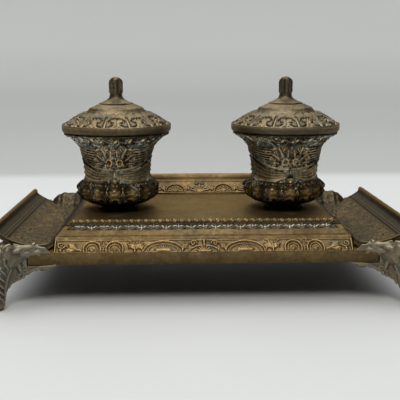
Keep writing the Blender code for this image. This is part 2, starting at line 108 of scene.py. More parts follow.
class Relief:
    """A height map over a rectangle, u across and v up. All its lengths are in mm."""

    def __init__(self, u_range, v_range, step):
        self.step = step
        self.u0, self.v0 = u_range[0], v_range[0]
        self.u = np.arange(u_range[0], u_range[1] + step / 2, step)
        self.v = np.arange(v_range[0], v_range[1] + step / 2, step)
        self.h = np.zeros((len(self.v), len(self.u)))

    def window(self, low, high):
        """The rows and columns that hold everything between two corners."""
        i0 = max(int((low[0] - self.u0) / self.step) - 1, 0)
        i1 = min(int((high[0] - self.u0) / self.step) + 3, len(self.u))
        j0 = max(int((low[1] - self.v0) / self.step) - 1, 0)
        j1 = min(int((high[1] - self.v0) / self.step) + 3, len(self.v))
        return slice(j0, max(j1, j0)), slice(i0, max(i1, i0))

    def merge(self, area, field, mode):
        """Raises the map to a field of heights, or with mode cut lowers it by them."""
        if mode == "cut":
            self.h[area] -= field
        else:
            np.maximum(self.h[area], field, out=self.h[area])

    def stroke(self, line, width, height, mode="max", power=0.5):
        """A rounded ridge, or with mode cut a groove, along a line. Width is half of its breadth."""
        line = np.asarray(line, float)
        width, height = lerp_along(width, len(line)), lerp_along(height, len(line))
        reach = width.max()
        area = self.window(line.min(0) - reach, line.max(0) + reach)
        u, v = np.meshgrid(self.u[area[1]], self.v[area[0]])
        field = np.zeros(u.shape)
        for k in range(len(line) - 1):
            a, step = line[k], line[k + 1] - line[k]
            s = np.clip(((u - a[0]) * step[0] + (v - a[1]) * step[1]) / max(step @ step, 1e-9), 0, 1)
            away = (u - a[0] - s * step[0]) ** 2 + (v - a[1] - s * step[1]) ** 2
            w = width[k] + (width[k + 1] - width[k]) * s
            top = height[k] + (height[k + 1] - height[k]) * s
            np.maximum(field, top * np.clip(1 - away / np.maximum(w, 1e-3) ** 2, 0, 1) ** power, out=field)
        self.merge(area, field, mode)

    def boss(self, centre, rx, ry, height, angle=0.0, mode="max", power=0.5):
        """A rounded dome, or with mode cut a dish."""
        reach = max(rx, ry)
        area = self.window(np.array(centre) - reach, np.array(centre) + reach)
        u, v = np.meshgrid(self.u[area[1]] - centre[0], self.v[area[0]] - centre[1])
        c, s = math.cos(math.radians(angle)), math.sin(math.radians(angle))
        away = ((u * c + v * s) / rx) ** 2 + ((v * c - u * s) / ry) ** 2
        self.merge(area, height * np.clip(1 - away, 0, 1) ** power, mode)

    def leaf(self, base, angle, length, spread, height, fingers=3, curl=0.35):
        """An acanthus leaf: a midrib with paired, outward-curling fingers. Angle is in degrees."""
        a = math.radians(angle)
        along = np.array([math.cos(a), math.sin(a)])
        across = np.array([-along[1], along[0]])
        base = np.asarray(base, float)
        for k in range(fingers, 0, -1):
            root = base + along * length * 0.62 * (k - 1) / fingers
            reach = length * (0.5 + 0.12 * (fingers - k))
            for hand in (-1, 1):
                tip = root + along * reach * 0.8 + across * hand * spread * (1.05 - 0.2 * k / fingers)
                turn = tip - along * reach * curl
                line = bezier(root, root + along * reach * 0.55, tip + across * hand * 0.1 * spread, turn, 12)
                breadth = [spread * 0.1, spread * 0.2, spread * 0.09]
                self.stroke(line, breadth, [height * 0.7, height, height * 0.5])
        spine = np.linspace(base, base + along * length, 8)
        breadth = [spread * 0.2, spread * 0.24, spread * 0.05]
        self.stroke(spine, breadth, [height, height * 1.15, height * 0.6])

    def rosette(self, centre, radius, petals, height, turn=0.0):
        """A round flower: petals about a raised eye."""
        for k in range(petals):
            a = turn + TAU * k / petals
            at = (centre[0] + 0.62 * radius * math.cos(a), centre[1] + 0.62 * radius * math.sin(a))
            self.boss(at, radius * 0.42, radius * 0.8 * math.pi / petals, height, math.degrees(a))
        self.boss(centre, radius * 0.3, radius * 0.3, height * 1.15)

    def shell(self, base, angle, radius, spread, ribs, height):
        """Ribs fanned from a base over an arc of spread degrees, with a scalloped edge."""
        for k in range(ribs):
            a = math.radians(angle + spread * (k / (ribs - 1) - 0.5))
            tip = np.array(base) + radius * np.array([math.cos(a), math.sin(a)])
            broad = 0.46 * radius * math.radians(spread) / (ribs - 1)
            self.stroke(np.linspace(base, tip, 5), [broad * 0.25, broad], [height * 0.6, height])

    def grain(self, amount, size, seed):
        """Cast unevenness: smooth random waves of about the size given."""
        self.h += amount * smooth_noise(self.h.shape, size / self.step, seed)


def smooth_noise(shape, size, seed):
    """Random numbers from about -1 to 1 that change over size cells."""
    rows, columns = (int(n / size) + 4 for n in shape)
    coarse = np.random.default_rng(seed).uniform(-1, 1, (rows, columns))
    y, x = np.arange(shape[0]) / size + 1, np.arange(shape[1]) / size + 1
    j, i = y.astype(int), x.astype(int)
    fy, fx = (y - j)[:, None], (x - i)[None, :]
    fy, fx = fy * fy * (3 - 2 * fy), fx * fx * (3 - 2 * fx)
    low = coarse[j][:, i] * (1 - fx) + coarse[j][:, i + 1] * fx
    high = coarse[j + 1][:, i] * (1 - fx) + coarse[j + 1][:, i + 1] * fx
    return low * (1 - fy) + high * fy


def blurred(h, radius, wrap):
    """A box blur, twice over. Columns wrap round on a turned piece."""
    for _ in range(2):
        for axis, mode in ((0, "edge"), (1, "wrap" if wrap else "edge")):
            pad = [(0, 0), (0, 0)]
            pad[axis] = (radius + 1, radius)
            total = np.cumsum(np.pad(h, pad, mode=mode), axis=axis)
            n = h.shape[axis]
            upper = np.take(total, np.arange(2 * radius + 1, 2 * radius + 1 + n), axis=axis)
            h = (upper - np.take(total, np.arange(n), axis=axis)) / (2 * radius + 1)
    return h


def wear_of(h, step, wrap=False, depth=0.22):
    """0 in a map's hollows, where grime shows, to 1 on its high edges, where the metal shows bright."""
    fine = h - blurred(h, max(int(0.7 / step), 1), wrap)
    broad = h - blurred(h, max(int(2.2 / step), 1), wrap)
    return np.clip(0.5 + 0.5 * (0.65 * fine + 0.35 * broad) / depth, 0, 1)


def tiled(relief, times):
    """The relief repeated round a turned piece. Its first and last columns are the same place."""
    return np.tile(relief.h[:, :-1], (1, times))


def rows_at(pattern, levels, places):
    """Rows of a pattern at the places given. Its own rows are at evenly spaced levels."""
    rows = np.interp(places, levels, np.arange(len(levels)))
    j = np.minimum(rows.astype(int), len(levels) - 2)
    f = (rows - j)[:, None]
    return pattern[j] * (1 - f) + pattern[j + 1] * f


def between(places, amounts):
    """A function of distances that runs straight from each amount to the next."""
    return lambda s: np.interp(s, places, amounts)


def mirrored(relief):
    """Makes the relief the same left and right of u = 0."""
    relief.h = np.maximum(relief.h, relief.h[:, ::-1])


# --- meshes --------------------------------------------------------------------------------------


def new_object(name, data):
    made = bpy.data.objects.new(name, data)
    bpy.context.scene.collection.objects.link(made)
    return made


def new_mesh(name, verts, faces, wear=None, soil_and_painted_light=None):
    """A smooth object whose material reads wear, and a darkening that is partly painted light, from its
    points.
    """
    mesh = bpy.data.meshes.new(name)
    mesh.from_pydata(verts, [], faces)
    mesh.update()
    for key, values in (("wear", wear), ("soil_and_painted_light", soil_and_painted_light)):
        if values is not None:
            layer = mesh.attributes.new(key, "FLOAT", "POINT")
            layer.data.foreach_set("value", np.asarray(values, np.float32))
    mesh.shade_smooth()
    return new_object(name, mesh)


def grid_faces(rows, columns, wrap):
    """Quads between neighbouring points of a grid numbered row by row."""
    j = np.arange(rows - 1)[:, None]
    i = np.arange(columns if wrap else columns - 1)[None, :]
    k = (i + 1) % columns
    low, high = j * columns, (j + 1) * columns
    quads = np.stack(np.broadcast_arrays(low + i, low + k, high + k, high + i), -1)
    return quads.reshape(-1, 4).tolist()


def resampled(profile, step):
    """A line's points spaced evenly and softened, its distances, and its normals on the left.

    The left of a profile that runs down the outside of a turned piece is outwards.
    """
    profile = np.asarray(profile, float)
    lengths = np.r_[0, np.cumsum(np.hypot(*np.diff(profile, axis=0).T))]
    count = max(int(round(lengths[-1] / step)) + 1, 2)
    s = np.linspace(0, lengths[-1], count)
    points = np.stack([np.interp(s, lengths, profile[:, k]) for k in (0, 1)], 1)
    soft = points.copy()
    for _ in range(3):
        soft[1:-1] = (soft[:-2] + 2 * soft[1:-1] + soft[2:]) / 4
    tangent = np.gradient(soft, axis=0)
    tangent /= np.maximum(np.hypot(tangent[:, 0], tangent[:, 1]), 1e-9)[:, None]
    return soft, s, np.stack([-tangent[:, 1], tangent[:, 0]], 1)


def turned(name, outer, inner, height=None, columns=96, step=0.3, middle=0.0, turn=0.0,
           depth=0.22, soil_and_painted_light=None):
    """A closed turned piece. outer runs down the outside and inner back up the inside, as (r, z).

    middle is the x of its axis. height is a function of the distances along the outer line that gives
    a map, one row per distance and one column per angle, and angle 0 faces the front. The map is sunk
    into the surface: what is highest in it lies deepest. soil_and_painted_light is a function of the same
    distances that darkens the metal, from 0 to 1, or brightens it where it is less than 0; in places
    this is painted shade and painted highlight.
    """
    line, s, normal = resampled(outer, step)
    relief = np.zeros((len(s), columns)) if height is None else height(s)
    columns = relief.shape[1]
    radius = line[:, :1] - normal[:, :1] * relief
    z = line[:, 1:] - normal[:, 1:] * relief
    wear = wear_of(relief, TAU * line[:, 0].mean() / columns, True, depth)
    # darkening and lightening along the profile, in places painted shade and painted highlight
    painted_light_and_dirt = np.repeat(soil_and_painted_light(s)[:, None] if soil_and_painted_light else np.zeros((len(s), 1)), columns, axis=1)
    inside = np.array(inner, float).reshape(-1, 2)
    flat = np.ones((len(inside), columns))
    radius = np.vstack([radius, flat * inside[:, :1]])
    z = np.vstack([z, flat * inside[:, 1:]])
    wear = np.vstack([wear, flat * INSIDE_WEAR])
    painted_light_and_dirt = np.vstack([painted_light_and_dirt, flat * INSIDE_DARKENING])
    a = turn - math.pi / 2 + TAU * np.arange(columns) / columns
    x, y = middle + radius * np.cos(a), radius * np.sin(a)
    verts = np.stack([x, y, z], -1).reshape(-1, 3) * MM
    rows = radius.shape[0]
    faces = grid_faces(rows, columns, True)
    solid = radius[0].max() < 0.1
    if solid:
        faces.append(list(range(columns)))
        faces.append(list(range(rows * columns - 1, (rows - 1) * columns - 1, -1)))
    else:
        last = (rows - 1) * columns
        k = np.arange(columns)
        faces += np.stack([last + k, last + (k + 1) % columns, (k + 1) % columns, k], -1).tolist()
    made = new_mesh(name, verts.tolist(), faces, wear.reshape(-1), painted_light_and_dirt.reshape(-1))
    point_outwards(made)
    return made


def point_outwards(obj):
    """Turns all faces of a closed mesh outwards, by the sign of its volume."""
    mesh = obj.data
    mesh.calc_loop_triangles()
    tris = np.empty(len(mesh.loop_triangles) * 3, np.int32)
    mesh.loop_triangles.foreach_get("vertices", tris)
    co = np.empty(len(mesh.vertices) * 3, np.float32)
    mesh.vertices.foreach_get("co", co)
    a, b, c = co.reshape(-1, 3)[tris.reshape(-1, 3)].transpose(1, 0, 2).astype(float)
    if np.einsum("ij,ij->i", a, np.cross(b, c)).sum() < 0:
        mesh.flip_normals()


def slab(name, top, wear, under, soil_and_painted_light=None):
    """A closed skin: top is a grid of points, and under a grid beneath it with as many columns."""
    rows, columns = top.shape[:2]
    low_rows = under.shape[0]
    verts = np.vstack([top.reshape(-1, 3), under.reshape(-1, 3)]) * MM
    low = rows * columns
    faces = grid_faces(rows, columns, False)
    faces += [[low + q for q in quad[::-1]] for quad in grid_faces(low_rows, columns, False)]
    i = np.arange(columns - 1)
    end, low_end = (rows - 1) * columns, low + (low_rows - 1) * columns
    faces += np.stack([i + 1, i, low + i, low + i + 1], -1).tolist()
    faces += np.stack([end + i, end + i + 1, low_end + i + 1, low_end + i], -1).tolist()
    for column in (0, columns - 1):
        side = [j * columns + column for j in range(rows)]
        side += [low + j * columns + column for j in range(low_rows - 1, -1, -1)]
        faces.append(side if column == 0 else side[::-1])
    shade = np.r_[np.clip(wear, 0, 1).reshape(-1), np.full(under.shape[0] * columns, 0.4)]
    painted_light_and_dirt = np.zeros(len(verts))
    if soil_and_painted_light is not None:
        painted_light_and_dirt[:low] = np.repeat(soil_and_painted_light, columns)
    made = new_mesh(name, verts.tolist(), faces, shade, painted_light_and_dirt)
    point_outwards(made)
    return made


def bevelled(name, parts, bevel=0.25):
    """Boxes and cylinders, given as (kind, sizes, matrix), joined into one softened piece."""
    target = None
    for kind, sizes, matrix in parts:
        bm = bmesh.new()
        if kind == "box":
            bmesh.ops.create_cube(bm, size=1.0, matrix=matrix @ Matrix.Diagonal((*sizes, 1.0)))
        else:
            r, length = sizes
            bmesh.ops.create_cone(
                bm, cap_ends=True, segments=40, radius1=r, radius2=r, depth=length, matrix=matrix
            )
        bmesh.ops.scale(bm, vec=(MM, MM, MM), verts=bm.verts)
        mesh = bpy.data.meshes.new(name)
        bm.to_mesh(mesh)
        bm.free()
        part = new_object(name, mesh)
        if target is None:
            target = part
        else:
            join = target.modifiers.new("Join", "BOOLEAN")
            join.operation = "UNION"
            join.object = part
            apply_modifiers(target)
            bpy.data.objects.remove(part)
    edge = target.modifiers.new("Edge", "BEVEL")
    edge.width = bevel * MM
    edge.segments = 3
    edge.limit_method = "ANGLE"
    apply_modifiers(target)
    target.data.shade_smooth()
    target.data.set_sharp_from_angle(angle=math.radians(50))
    return target


def apply_modifiers(obj):
    """Makes an object's modifiers part of its mesh."""
    bpy.context.view_layer.update()
    graph = bpy.context.evaluated_depsgraph_get()
    mesh = bpy.data.meshes.new_from_object(obj.evaluated_get(graph), depsgraph=graph)
    obj.modifiers.clear()
    obj.data = mesh
    return obj


def dress(obj, body, finish, slot, *nodes):
    """Gives a visual piece its material, its body and the CAD nodes it stands for; slot is not used."""
    obj.data.materials.clear()
    obj.data.materials.append(finish)
    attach(obj, body)
    if nodes:
        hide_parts(*nodes)
    return obj


# --- materials -----------------------------------------------------------------------------------


class Nodes:
    """A short way to write shader nodes."""

    def __init__(self, name):
        self.material = bpy.data.materials.new(name)
        self.material.use_nodes = True
        self.tree = self.material.node_tree
        self.shader = self.tree.nodes["Principled BSDF"]
        self.place = self.add("ShaderNodeTexCoord").outputs["Object"]

    def add(self, kind, **settings):
        node = self.tree.nodes.new(kind)
        for key, value in settings.items():
            setattr(node, key, value)
        return node

    def feed(self, socket, value):
        if isinstance(value, bpy.types.NodeSocket):
            self.tree.links.new(value, socket)
        else:
            socket.default_value = value

    def shade(self, name, value):
        """Sets one input of the surface's own shader."""
        self.feed(self.shader.inputs[name], value)

    def noise(self, scale, detail, roughness):
        node = self.add("ShaderNodeTexNoise")
        self.feed(node.inputs["Vector"], self.place)
        node.inputs["Scale"].default_value = scale
        node.inputs["Detail"].default_value = detail
        node.inputs["Roughness"].default_value = roughness
        return node.outputs["Fac"]

    def math(self, operation, a, b, clamp=False):
        node = self.add("ShaderNodeMath", operation=operation, use_clamp=clamp)
        self.feed(node.inputs[0], a)
        self.feed(node.inputs[1], b)
        return node.outputs["Value"]

    def plus(self, a, b, clamp=False):
        return self.math("ADD", a, b, clamp)

    def minus(self, a, b):
        return self.math("SUBTRACT", a, b)

    def times(self, a, b):
        return self.math("MULTIPLY", a, b)

    def span(self, value, low, high, to_low=0.0, to_high=1.0):
        node = self.add("ShaderNodeMapRange", interpolation_type="SMOOTHSTEP")
        names = ("Value", "From Min", "From Max", "To Min", "To Max")
        for key, item in zip(names, (value, low, high, to_low, to_high)):
            self.feed(node.inputs[key], item)
        return node.outputs["Result"]

    def ramp(self, value, stops):
        node = self.add("ShaderNodeValToRGB")
        self.feed(node.inputs["Fac"], value)
        elements = node.color_ramp.elements
        while len(elements) < len(stops):
            elements.new(0.5)
        for element, (position, colour) in zip(elements, stops):
            element.position = position
            element.color = (*colour, 1.0)
        return node.outputs["Color"]

    def mix(self, factor, a, b, blend="MIX"):
        node = self.add("ShaderNodeMix", data_type="RGBA", blend_type=blend)
        for key, value in (("Factor_Float", factor), ("A_Color", a), ("B_Color", b)):
            socket = next(s for s in node.inputs if s.identifier == key)
            self.feed(socket, (*value, 1.0) if isinstance(value, tuple) and len(value) == 3 else value)
        return next(s for s in node.outputs if s.identifier == "Result_Color")

    def attribute(self, name):
        node = self.add("ShaderNodeAttribute", attribute_type="GEOMETRY", attribute_name=name)
        return node.outputs["Fac"]

    def facing(self):
        """How far the surface faces up, from -1 to 1."""
        split = self.add("ShaderNodeSeparateXYZ")
        self.feed(split.inputs["Vector"], self.add("ShaderNodeNewGeometry").outputs["True Normal"])
        return split.outputs["Z"]

    def bump(self, height, strength, distance):
        node = self.add("ShaderNodeBump")
        node.inputs["Strength"].default_value = strength
        node.inputs["Distance"].default_value = distance
        self.feed(node.inputs["Height"], height)
        self.feed(self.shader.inputs["Normal"], node.outputs["Normal"])


def patina(name, hollow, body, rubbed, bright, crust=(0.45, 0.47, 0.42), green=(0.10, 0.17, 0.15),
           crusted=0.3, greened=0.3, rough=0.46, edge=(0.9, 0.82, 0.7), relief=True):
    """Old brass: dark in the hollows, brown on the flats, golden where rubbed, with dry crust.

    crusted and greened are how far pale and green corrosion fill the hollows, from 0 to 1. edge is
    the tint of the gloss at glancing angles. A piece without relief takes its wear from noise, and its
    faces that look down are painted dark as shade.
    """
    n = Nodes(name)
    cloud = n.noise(70, 5, 0.6)
    mottle = n.noise(420, 5, 0.65)
    speck = n.noise(1900, 3, 0.6)
    height = n.attribute("wear") if relief else n.plus(n.times(mottle, 0.3), 0.33)
    drift = n.times(n.minus(cloud, 0.5), 0.5)
    fleck = n.times(n.minus(mottle, 0.5), 0.45)
    level = n.plus(n.plus(height, drift), fleck, clamp=True)
    metal = n.ramp(level, [(0.12, hollow), (0.44, body), (0.68, rubbed), (0.95, bright)])
    tint = n.ramp(n.noise(26, 3, 0.5), [(0.3, (0.82, 0.86, 0.92)), (0.7, (1.12, 1.02, 0.9))])
    metal = n.mix(0.6, metal, tint, "MULTIPLY")
    low = n.span(height, 0.46, 0.26)
    crumbs = n.plus(mottle, n.times(cloud, 0.6))
    pale = n.times(low, n.span(crumbs, 1.06 - 0.5 * crusted, 1.2 - 0.5 * crusted))
    patch = n.noise(95, 4, 0.6)
    spots = n.span(patch, 0.66 - 0.3 * greened, 0.76 - 0.26 * greened)
    verdigris = n.times(n.span(height, 0.56, 0.30), spots)
    verdigris = n.times(verdigris, n.span(speck, 0.3, 0.55, 0.45, 1.0))
    colour = n.mix(verdigris, metal, green)
    colour = n.mix(pale, colour, crust)
    # colour multiplier from the mesh's darkening, in places painted shade and painted highlight
    lit_and_clean = n.minus(1.0, n.attribute("soil_and_painted_light"))
    # painted shade: faces of a piece without relief that look down are darkened to 0.12 of their colour
    if not relief:
        lit_and_clean = n.span(n.facing(), -0.5, 0.2, 0.12, 1.0)
    n.shade("Base Color", n.mix(1.0, colour, lit_and_clean, "MULTIPLY"))
    dull = n.math("MAXIMUM", pale, verdigris)
    shine = n.span(level, 0.1, 0.6, 0.72, 1.0)
    bare = n.minus(1.0, n.times(dull, 0.92))
    n.shade("Metallic", n.times(shine, bare))
    n.shade("Specular Tint", (*edge, 1.0))
    matt = n.plus(n.span(level, 0.2, 0.95, rough + 0.12, rough - 0.1), n.times(dull, 0.35))
    grit = n.times(n.minus(speck, 0.5), 0.16)
    n.shade("Roughness", n.plus(matt, grit, clamp=True))
    pits = n.plus(n.times(mottle, 0.7), n.times(speck, 0.45))
    n.bump(n.plus(pits, n.times(dull, 0.5)), 0.5, 0.00022)
    return n.material


def porcelain(name):
    """White glaze, faintly crazed, with old ink round the inside."""
    n = Nodes(name)
    cloud = n.noise(55, 4, 0.55)
    fine = n.noise(700, 3, 0.6)
    glaze = n.ramp(cloud, [(0.3, (0.62, 0.6, 0.53)), (0.7, (0.8, 0.78, 0.72))])
    ink = n.span(n.plus(n.noise(140, 5, 0.7), n.times(fine, 0.25)), 0.68, 0.8)
    n.shade("Base Color", n.mix(ink, glaze, (0.05, 0.06, 0.1)))
    n.shade("Roughness", n.span(fine, 0.3, 0.7, 0.12, 0.24))
    n.bump(fine, 0.1, 0.0001)
    return n.material


def steel(name):
    """Dull, oil-darkened steel for screws and nuts."""
    n = Nodes(name)
    mottle = n.noise(600, 5, 0.65)
    speck = n.noise(2600, 3, 0.6)
    rust = n.span(n.noise(260, 4, 0.6), 0.5, 0.66)
    metal = n.ramp(mottle, [(0.3, (0.09, 0.085, 0.08)), (0.7, (0.26, 0.25, 0.23))])
    n.shade("Base Color", n.mix(rust, metal, (0.11, 0.055, 0.03)))
    n.shade("Metallic", n.minus(1.0, n.times(rust, 0.8)))
    n.shade("Roughness", n.span(mottle, 0.3, 0.7, 0.38, 0.62))
    n.bump(speck, 0.3, 0.00015)
    return n.material


# --- wells ---------------------------------------------------------------------------------------

BODY_UNIT = TAU * 23.0 / 2  # one of the two repeats round the body, in mm
BODY_STEP = 0.25
ALONG_X = Matrix.Rotation(math.pi / 2, 4, "Y")
LOBES = 16  # round the bowl
FINIAL_COLUMNS = 96


def carve_drapery(r, half):
    """Ribbed wings, the binding under them, draped folds, and the border at the unit's edge."""
    # Ribbed wings fill the upper field.
    for k in range(8):
        v = 10.6 + k * 1.62
        start = 7.4 - 0.1 * k
        end = min(half - 7.0, 20.0 + 2.2 * k)
        line = bezier((start, v), (start + 6, v + 0.1), (end - 7, v + 0.8), (end, v + 2.0), 16)
        r.stroke(line, [0.45, 0.62, 0.5, 0.35], [1.2, 1.8, 1.0, 0.3])

    # A curved binding runs from the outer edges down under the two rosettes.
    swag = bezier((half - 3.6, 17.4), (27.0, 12.6), (15.0, 7.6), (0.0, 8.2), 40)
    r.stroke(swag, [0.85, 1.0, 1.1], [1.6, 2.7, 2.5])

    # Broad draped folds below it gather towards the knot in the middle.
    for k in range(4):
        low = (half - 3.4, 13.6 - 3.3 * k)
        line = bezier(low, (27.0 - 2.0 * k, 8.6 - 2.6 * k), (13.0, 4.4 - 1.6 * k), (2.0, 6.6 - 0.9 * k), 30)
        r.stroke(line, [1.3, 1.75, 0.8], [0.6, 2.0, 1.7])
    border = bezier((half, 24.0), (half - 3.0, 16.0), (half - 2.4, 6.0), (half - 1.0, 0.0))
    r.stroke(border, 2.2, [0.6, 1.5, 1.3], power=0.8)
    r.leaf((half, 6.0), 90, 15.0, 5.2, 1.2, 5)
    r.leaf((half, 0.0), 90, 6.0, 4.0, 1.2, 3)


def carve_flowers(r):
    """A round rosette to one side of the middle, with leaf sprays leaning outwards above it."""
    eye = (3.7, 12.5)
    r.boss(eye, 3.6, 3.6, 1.5)
    r.rosette(eye, 3.9, 8, 2.3, 0.3)
    r.stroke(arc(eye, 2.0, 2.0, 0, 360, 30), 0.7, 2.9)
    r.boss(eye, 1.5, 1.5, 2.6, mode="cut")
    r.boss(eye, 0.8, 0.8, 1.5)
    sprays = (((5.6, 15.8), 64, 9.6, 5.4), ((8.0, 14.0), 34, 8.0, 4.6), ((8.6, 11.6), 4, 6.0, 3.4))
    for base, angle, length, spread in sprays:
        r.boss(np.add(base, (2.4, 2.0)), 4.2, 2.6, 0.9, angle)
        r.leaf(base, angle, length, spread, 2.5, 3, 0.5)
    r.leaf((2.3, 16.0), 96, 7.4, 3.4, 1.9, 3, 0.5)


def carve_knot(r, cabochon):
    """The knot, and the drop that hangs from it between two leaf tips."""
    r.boss((0, 8.6), 1.5, 1.7, 3.0)
    r.boss((0, 12.8), 0.7, 2.4, 1.4)
    if cabochon:
        r.stroke([(0, 7.0), (0, 4.0)], [0.9, 1.6], 1.8)
        r.boss((0, 1.8), 3.0, 3.0, 3.6, power=0.45)
    else:
        r.stroke([(0, 7.2), (0, 0.6)], [1.0, 2.2, 2.6], [1.9, 2.6, 2.4])
    for hand in (-1, 1):
        r.leaf((hand * 4.4, 0.0), 90 + hand * 12, 4.6, 2.2, 1.4, 2)


def carve_collar(r, half):
    """A leaf between the sprays, and the curling leaf tips that hang from the collar."""
    r.leaf((0.0, 17.4), 90, 6.0, 3.0, 1.3, 3)
    for k in range(10):
        u = -half + BODY_UNIT * (k + 0.5) / 10
        curl = bezier((u, 33.4), (u + 0.2, 29.6), (u + 1.2, 25.6), (u + 3.4, 26.4))
        r.stroke(curl, [0.7, 1.3, 1.0, 0.6], [1.4, 2.2, 2.4, 1.6])
        curl = bezier((u - 1.0, 33.4), (u - 1.8, 30.4), (u - 1.2, 27.6), (u - 2.8, 27.2))
        r.stroke(curl, [0.6, 0.9, 0.6], [1.2, 1.8, 1.3])
        r.leaf((u + BODY_UNIT / 20, 33.2), -84, 7.0, 2.4, 1.6, 3, 0.6)
        r.boss((u + 3.2, 27.0), 0.9, 0.9, 2.5)


def body_relief(cabochon):
    """Half of the well's body, from its foot (v = 0) up to the collar's rim."""
    half = BODY_UNIT / 2
    r = Relief((-half, half), (0.0, 36.5), BODY_UNIT / 288)
    carve_drapery(r, half)
    carve_flowers(r)
    mirrored(r)
    carve_knot(r, cabochon)
    carve_collar(r, half)
    r.grain(0.12, 1.3, 3)
    r.grain(0.07, 0.5, 4)
    return r


def make_body(side, brass):
    """The waisted cup with its flared collar, and the two fixed lugs of the hinge."""
    profile = [
        (33.3, 95.1), (33.6, 94.6), (33.3, 94.1), (32.2, 93.4), (29.2, 91.4), (26.6, 89.2),
        (24.9, 87.0), (23.8, 85.4), (23.1, 81.0), (22.3, 76.0), (21.7, 70.0), (21.5, 66.4),
        (21.8, 64.9),
    ]
    inner = [
        (2.6, 64.9), (2.6, 67.1), (19.4, 67.1), (19.4, 88.2), (22.4, 88.2), (23.4, 89.0), (30.6, 94.4),
        (31.0, 95.1),
    ]
    relief = body_relief(side == "right")
    pattern = tiled(relief, 2)

    def height(s):
        fade = np.clip(s / 1.2, 0, 1)[:, None]
        return rows_at(pattern, relief.v, s[-1] - s) * fade

    name = f"{side}_body_cast"
    x = WELL_X * SIDES[side]
    turn = (-0.02 if side == "left" else 0.06) - math.pi / 2
    body = turned(
        name, profile, inner, height, step=BODY_STEP, middle=x, turn=turn, depth=0.56,
        # painted light: the collar, which lies in the lid's shade, is brightened; a little darker at the top
        # edge, lighter near the foot
        soil_and_painted_light=between([0.0, 1.5, 2.5, 8.0, 11.0, 26.0, 31.0], [0.2, 0.0, -0.9, -0.8, -0.1, -0.1, -0.5]),
    )
    dress(body, "stand", brass, "cup_brass", f"{side}_body")
    for hand in (-1, 1):
        middle = x + hand * 6.3
        barrel = ("cylinder", (2.5, 4.0), Matrix.Translation((middle, HINGE_Y, HINGE_Z)) @ ALONG_X)
        web = ("box", (4.0, 5.6, 1.7), Matrix.Translation((middle, 34.0, 94.25)))
        lug = bevelled(f"{side}_hinge_lug_{'a' if hand < 0 else 'b'}", [barrel, web])
        dress(lug, "stand", brass, "cup_brass")


def make_bowl(side, brass):
    """The gadrooned cup: a ring of lobes with leaves above them, and a plain foot ring."""
    profile = [
        (21.7, 64.9), (22.5, 64.4), (24.6, 63.1), (26.5, 61.5), (27.2, 59.7), (26.9, 57.2),
        (24.9, 54.0), (20.2, 51.0), (15.4, 49.3), (12.4, 48.7), (11.9, 48.0), (12.6, 47.4),
        (12.8, 46.2),
    ]
    inner = [
        (2.6, 46.3), (2.6, 51.4), (13.0, 52.6), (19.4, 55.4), (22.4, 58.6), (22.0, 61.2), (19.4, 62.4),
        (19.4, 64.8),
    ]
    unit = TAU * 25.0 / LOBES
    half = unit / 2
    step = unit / 40

    def height(s):
        r = Relief((-half, half), (0.0, s[-1]), step)
        r.boss((0, 9.4), 4.2, 6.6, 2.6, power=0.6)
        r.stroke([(0, 7.0), (0, 18.5)], [3.4, 3.8, 1.5], [2.2, 2.4, 0.9], power=0.65)
        for hand in (-1, 1):
            rib = [(hand * half, 2.6), (hand * half, 18.5)]
            r.stroke(rib, [0.7, 0.45], [1.9, 0.8])
        r.stroke(arc((0, 7.4), 4.5, 4.6, 180, 0, 24), 0.5, 1.9)
        r.leaf((0.0, 0.2), 90, 3.4, 2.2, 0.9, 2)
        r.leaf((half, 0.2), 90, 4.0, 2.0, 1.1, 2)
        r.leaf((-half, 0.2), 90, 4.0, 2.0, 1.1, 2)
        r.h *= np.clip((19.5 - r.v) / 2.0, 0, 1)[:, None]
        r.grain(0.1, 1.1, 8)
        return rows_at(tiled(r, LOBES), r.v, s)

    x = WELL_X * SIDES[side]
    bowl = turned(
        f"{side}_bowl_cast", profile, inner, height, step=0.28, middle=x, turn=-math.pi / LOBES, depth=0.75,
        # painted shadow: the lower lobes, underside and foot are darkened, up to 0.9; a faint painted
        # highlight across the lobes' widest part; darker at the shoulder
        soil_and_painted_light=between([0.0, 3.5, 6.0, 13.0, 17.0, 19.0], [0.3, 0.25, -0.1, 0.2, 0.8, 0.9]),
    )
    dress(bowl, "stand", brass, "cup_brass", f"{side}_bowl")


def lid_relief(half, step):
    """One unit of the lid, with v measured inwards from the groove beside the rim.

    The band of leaf scrolls lies below v = 12.4, and the plain crown above it.
    """
    r = Relief((-half, half), (-12.0, 40.0), step)
    for hand in (-1, 1):
        r.stroke(spiral((hand * 3.6, 6.6), 3.1, 1.15, 60 if hand > 0 else 120, -hand), [0.8, 0.6], 1.2)
        stem = bezier((hand * 0.8, 0.6), (hand * 3.6, 0.6), (hand * 6.4, 2.6), (hand * 5.4, 9.4))
        r.stroke(stem, [0.7, 1.0, 0.6], 1.15)
        hook = ((half, 0.6), (half - 0.4, 5.0), (half - 1.6, 9.4), (half - 3.0, 8.8))
        r.stroke(bezier(*((hand * u, v) for u, v in hook)), [0.8, 1.0, 0.7], 1.1)
    r.stroke([(0.0, 0.8), (0.0, 10.4)], [0.9, 1.4, 0.7], 1.2)
    r.stroke([(-half, 0.3), (half, 0.3)], 0.4, 0.6)

    # The plain crown overlaps the band with a scalloped edge.
    u, v = np.meshgrid(r.u, r.v)
    edge = 12.4 + 2.6 * np.abs(np.sin(math.pi * u / half)) ** 0.7
    crown = np.clip((v - edge) / 0.45, 0, 1) * np.clip((19.4 - v) / 3.0, 0, 1)
    lip = np.clip(1 - np.abs(v - edge - 0.9) / 0.9, 0, 1)
    r.h = np.maximum(r.h * (v < edge + 0.4), 1.15 * crown + 0.35 * lip * (crown > 0))
    r.grain(0.08, 0.8, 5)
    return r


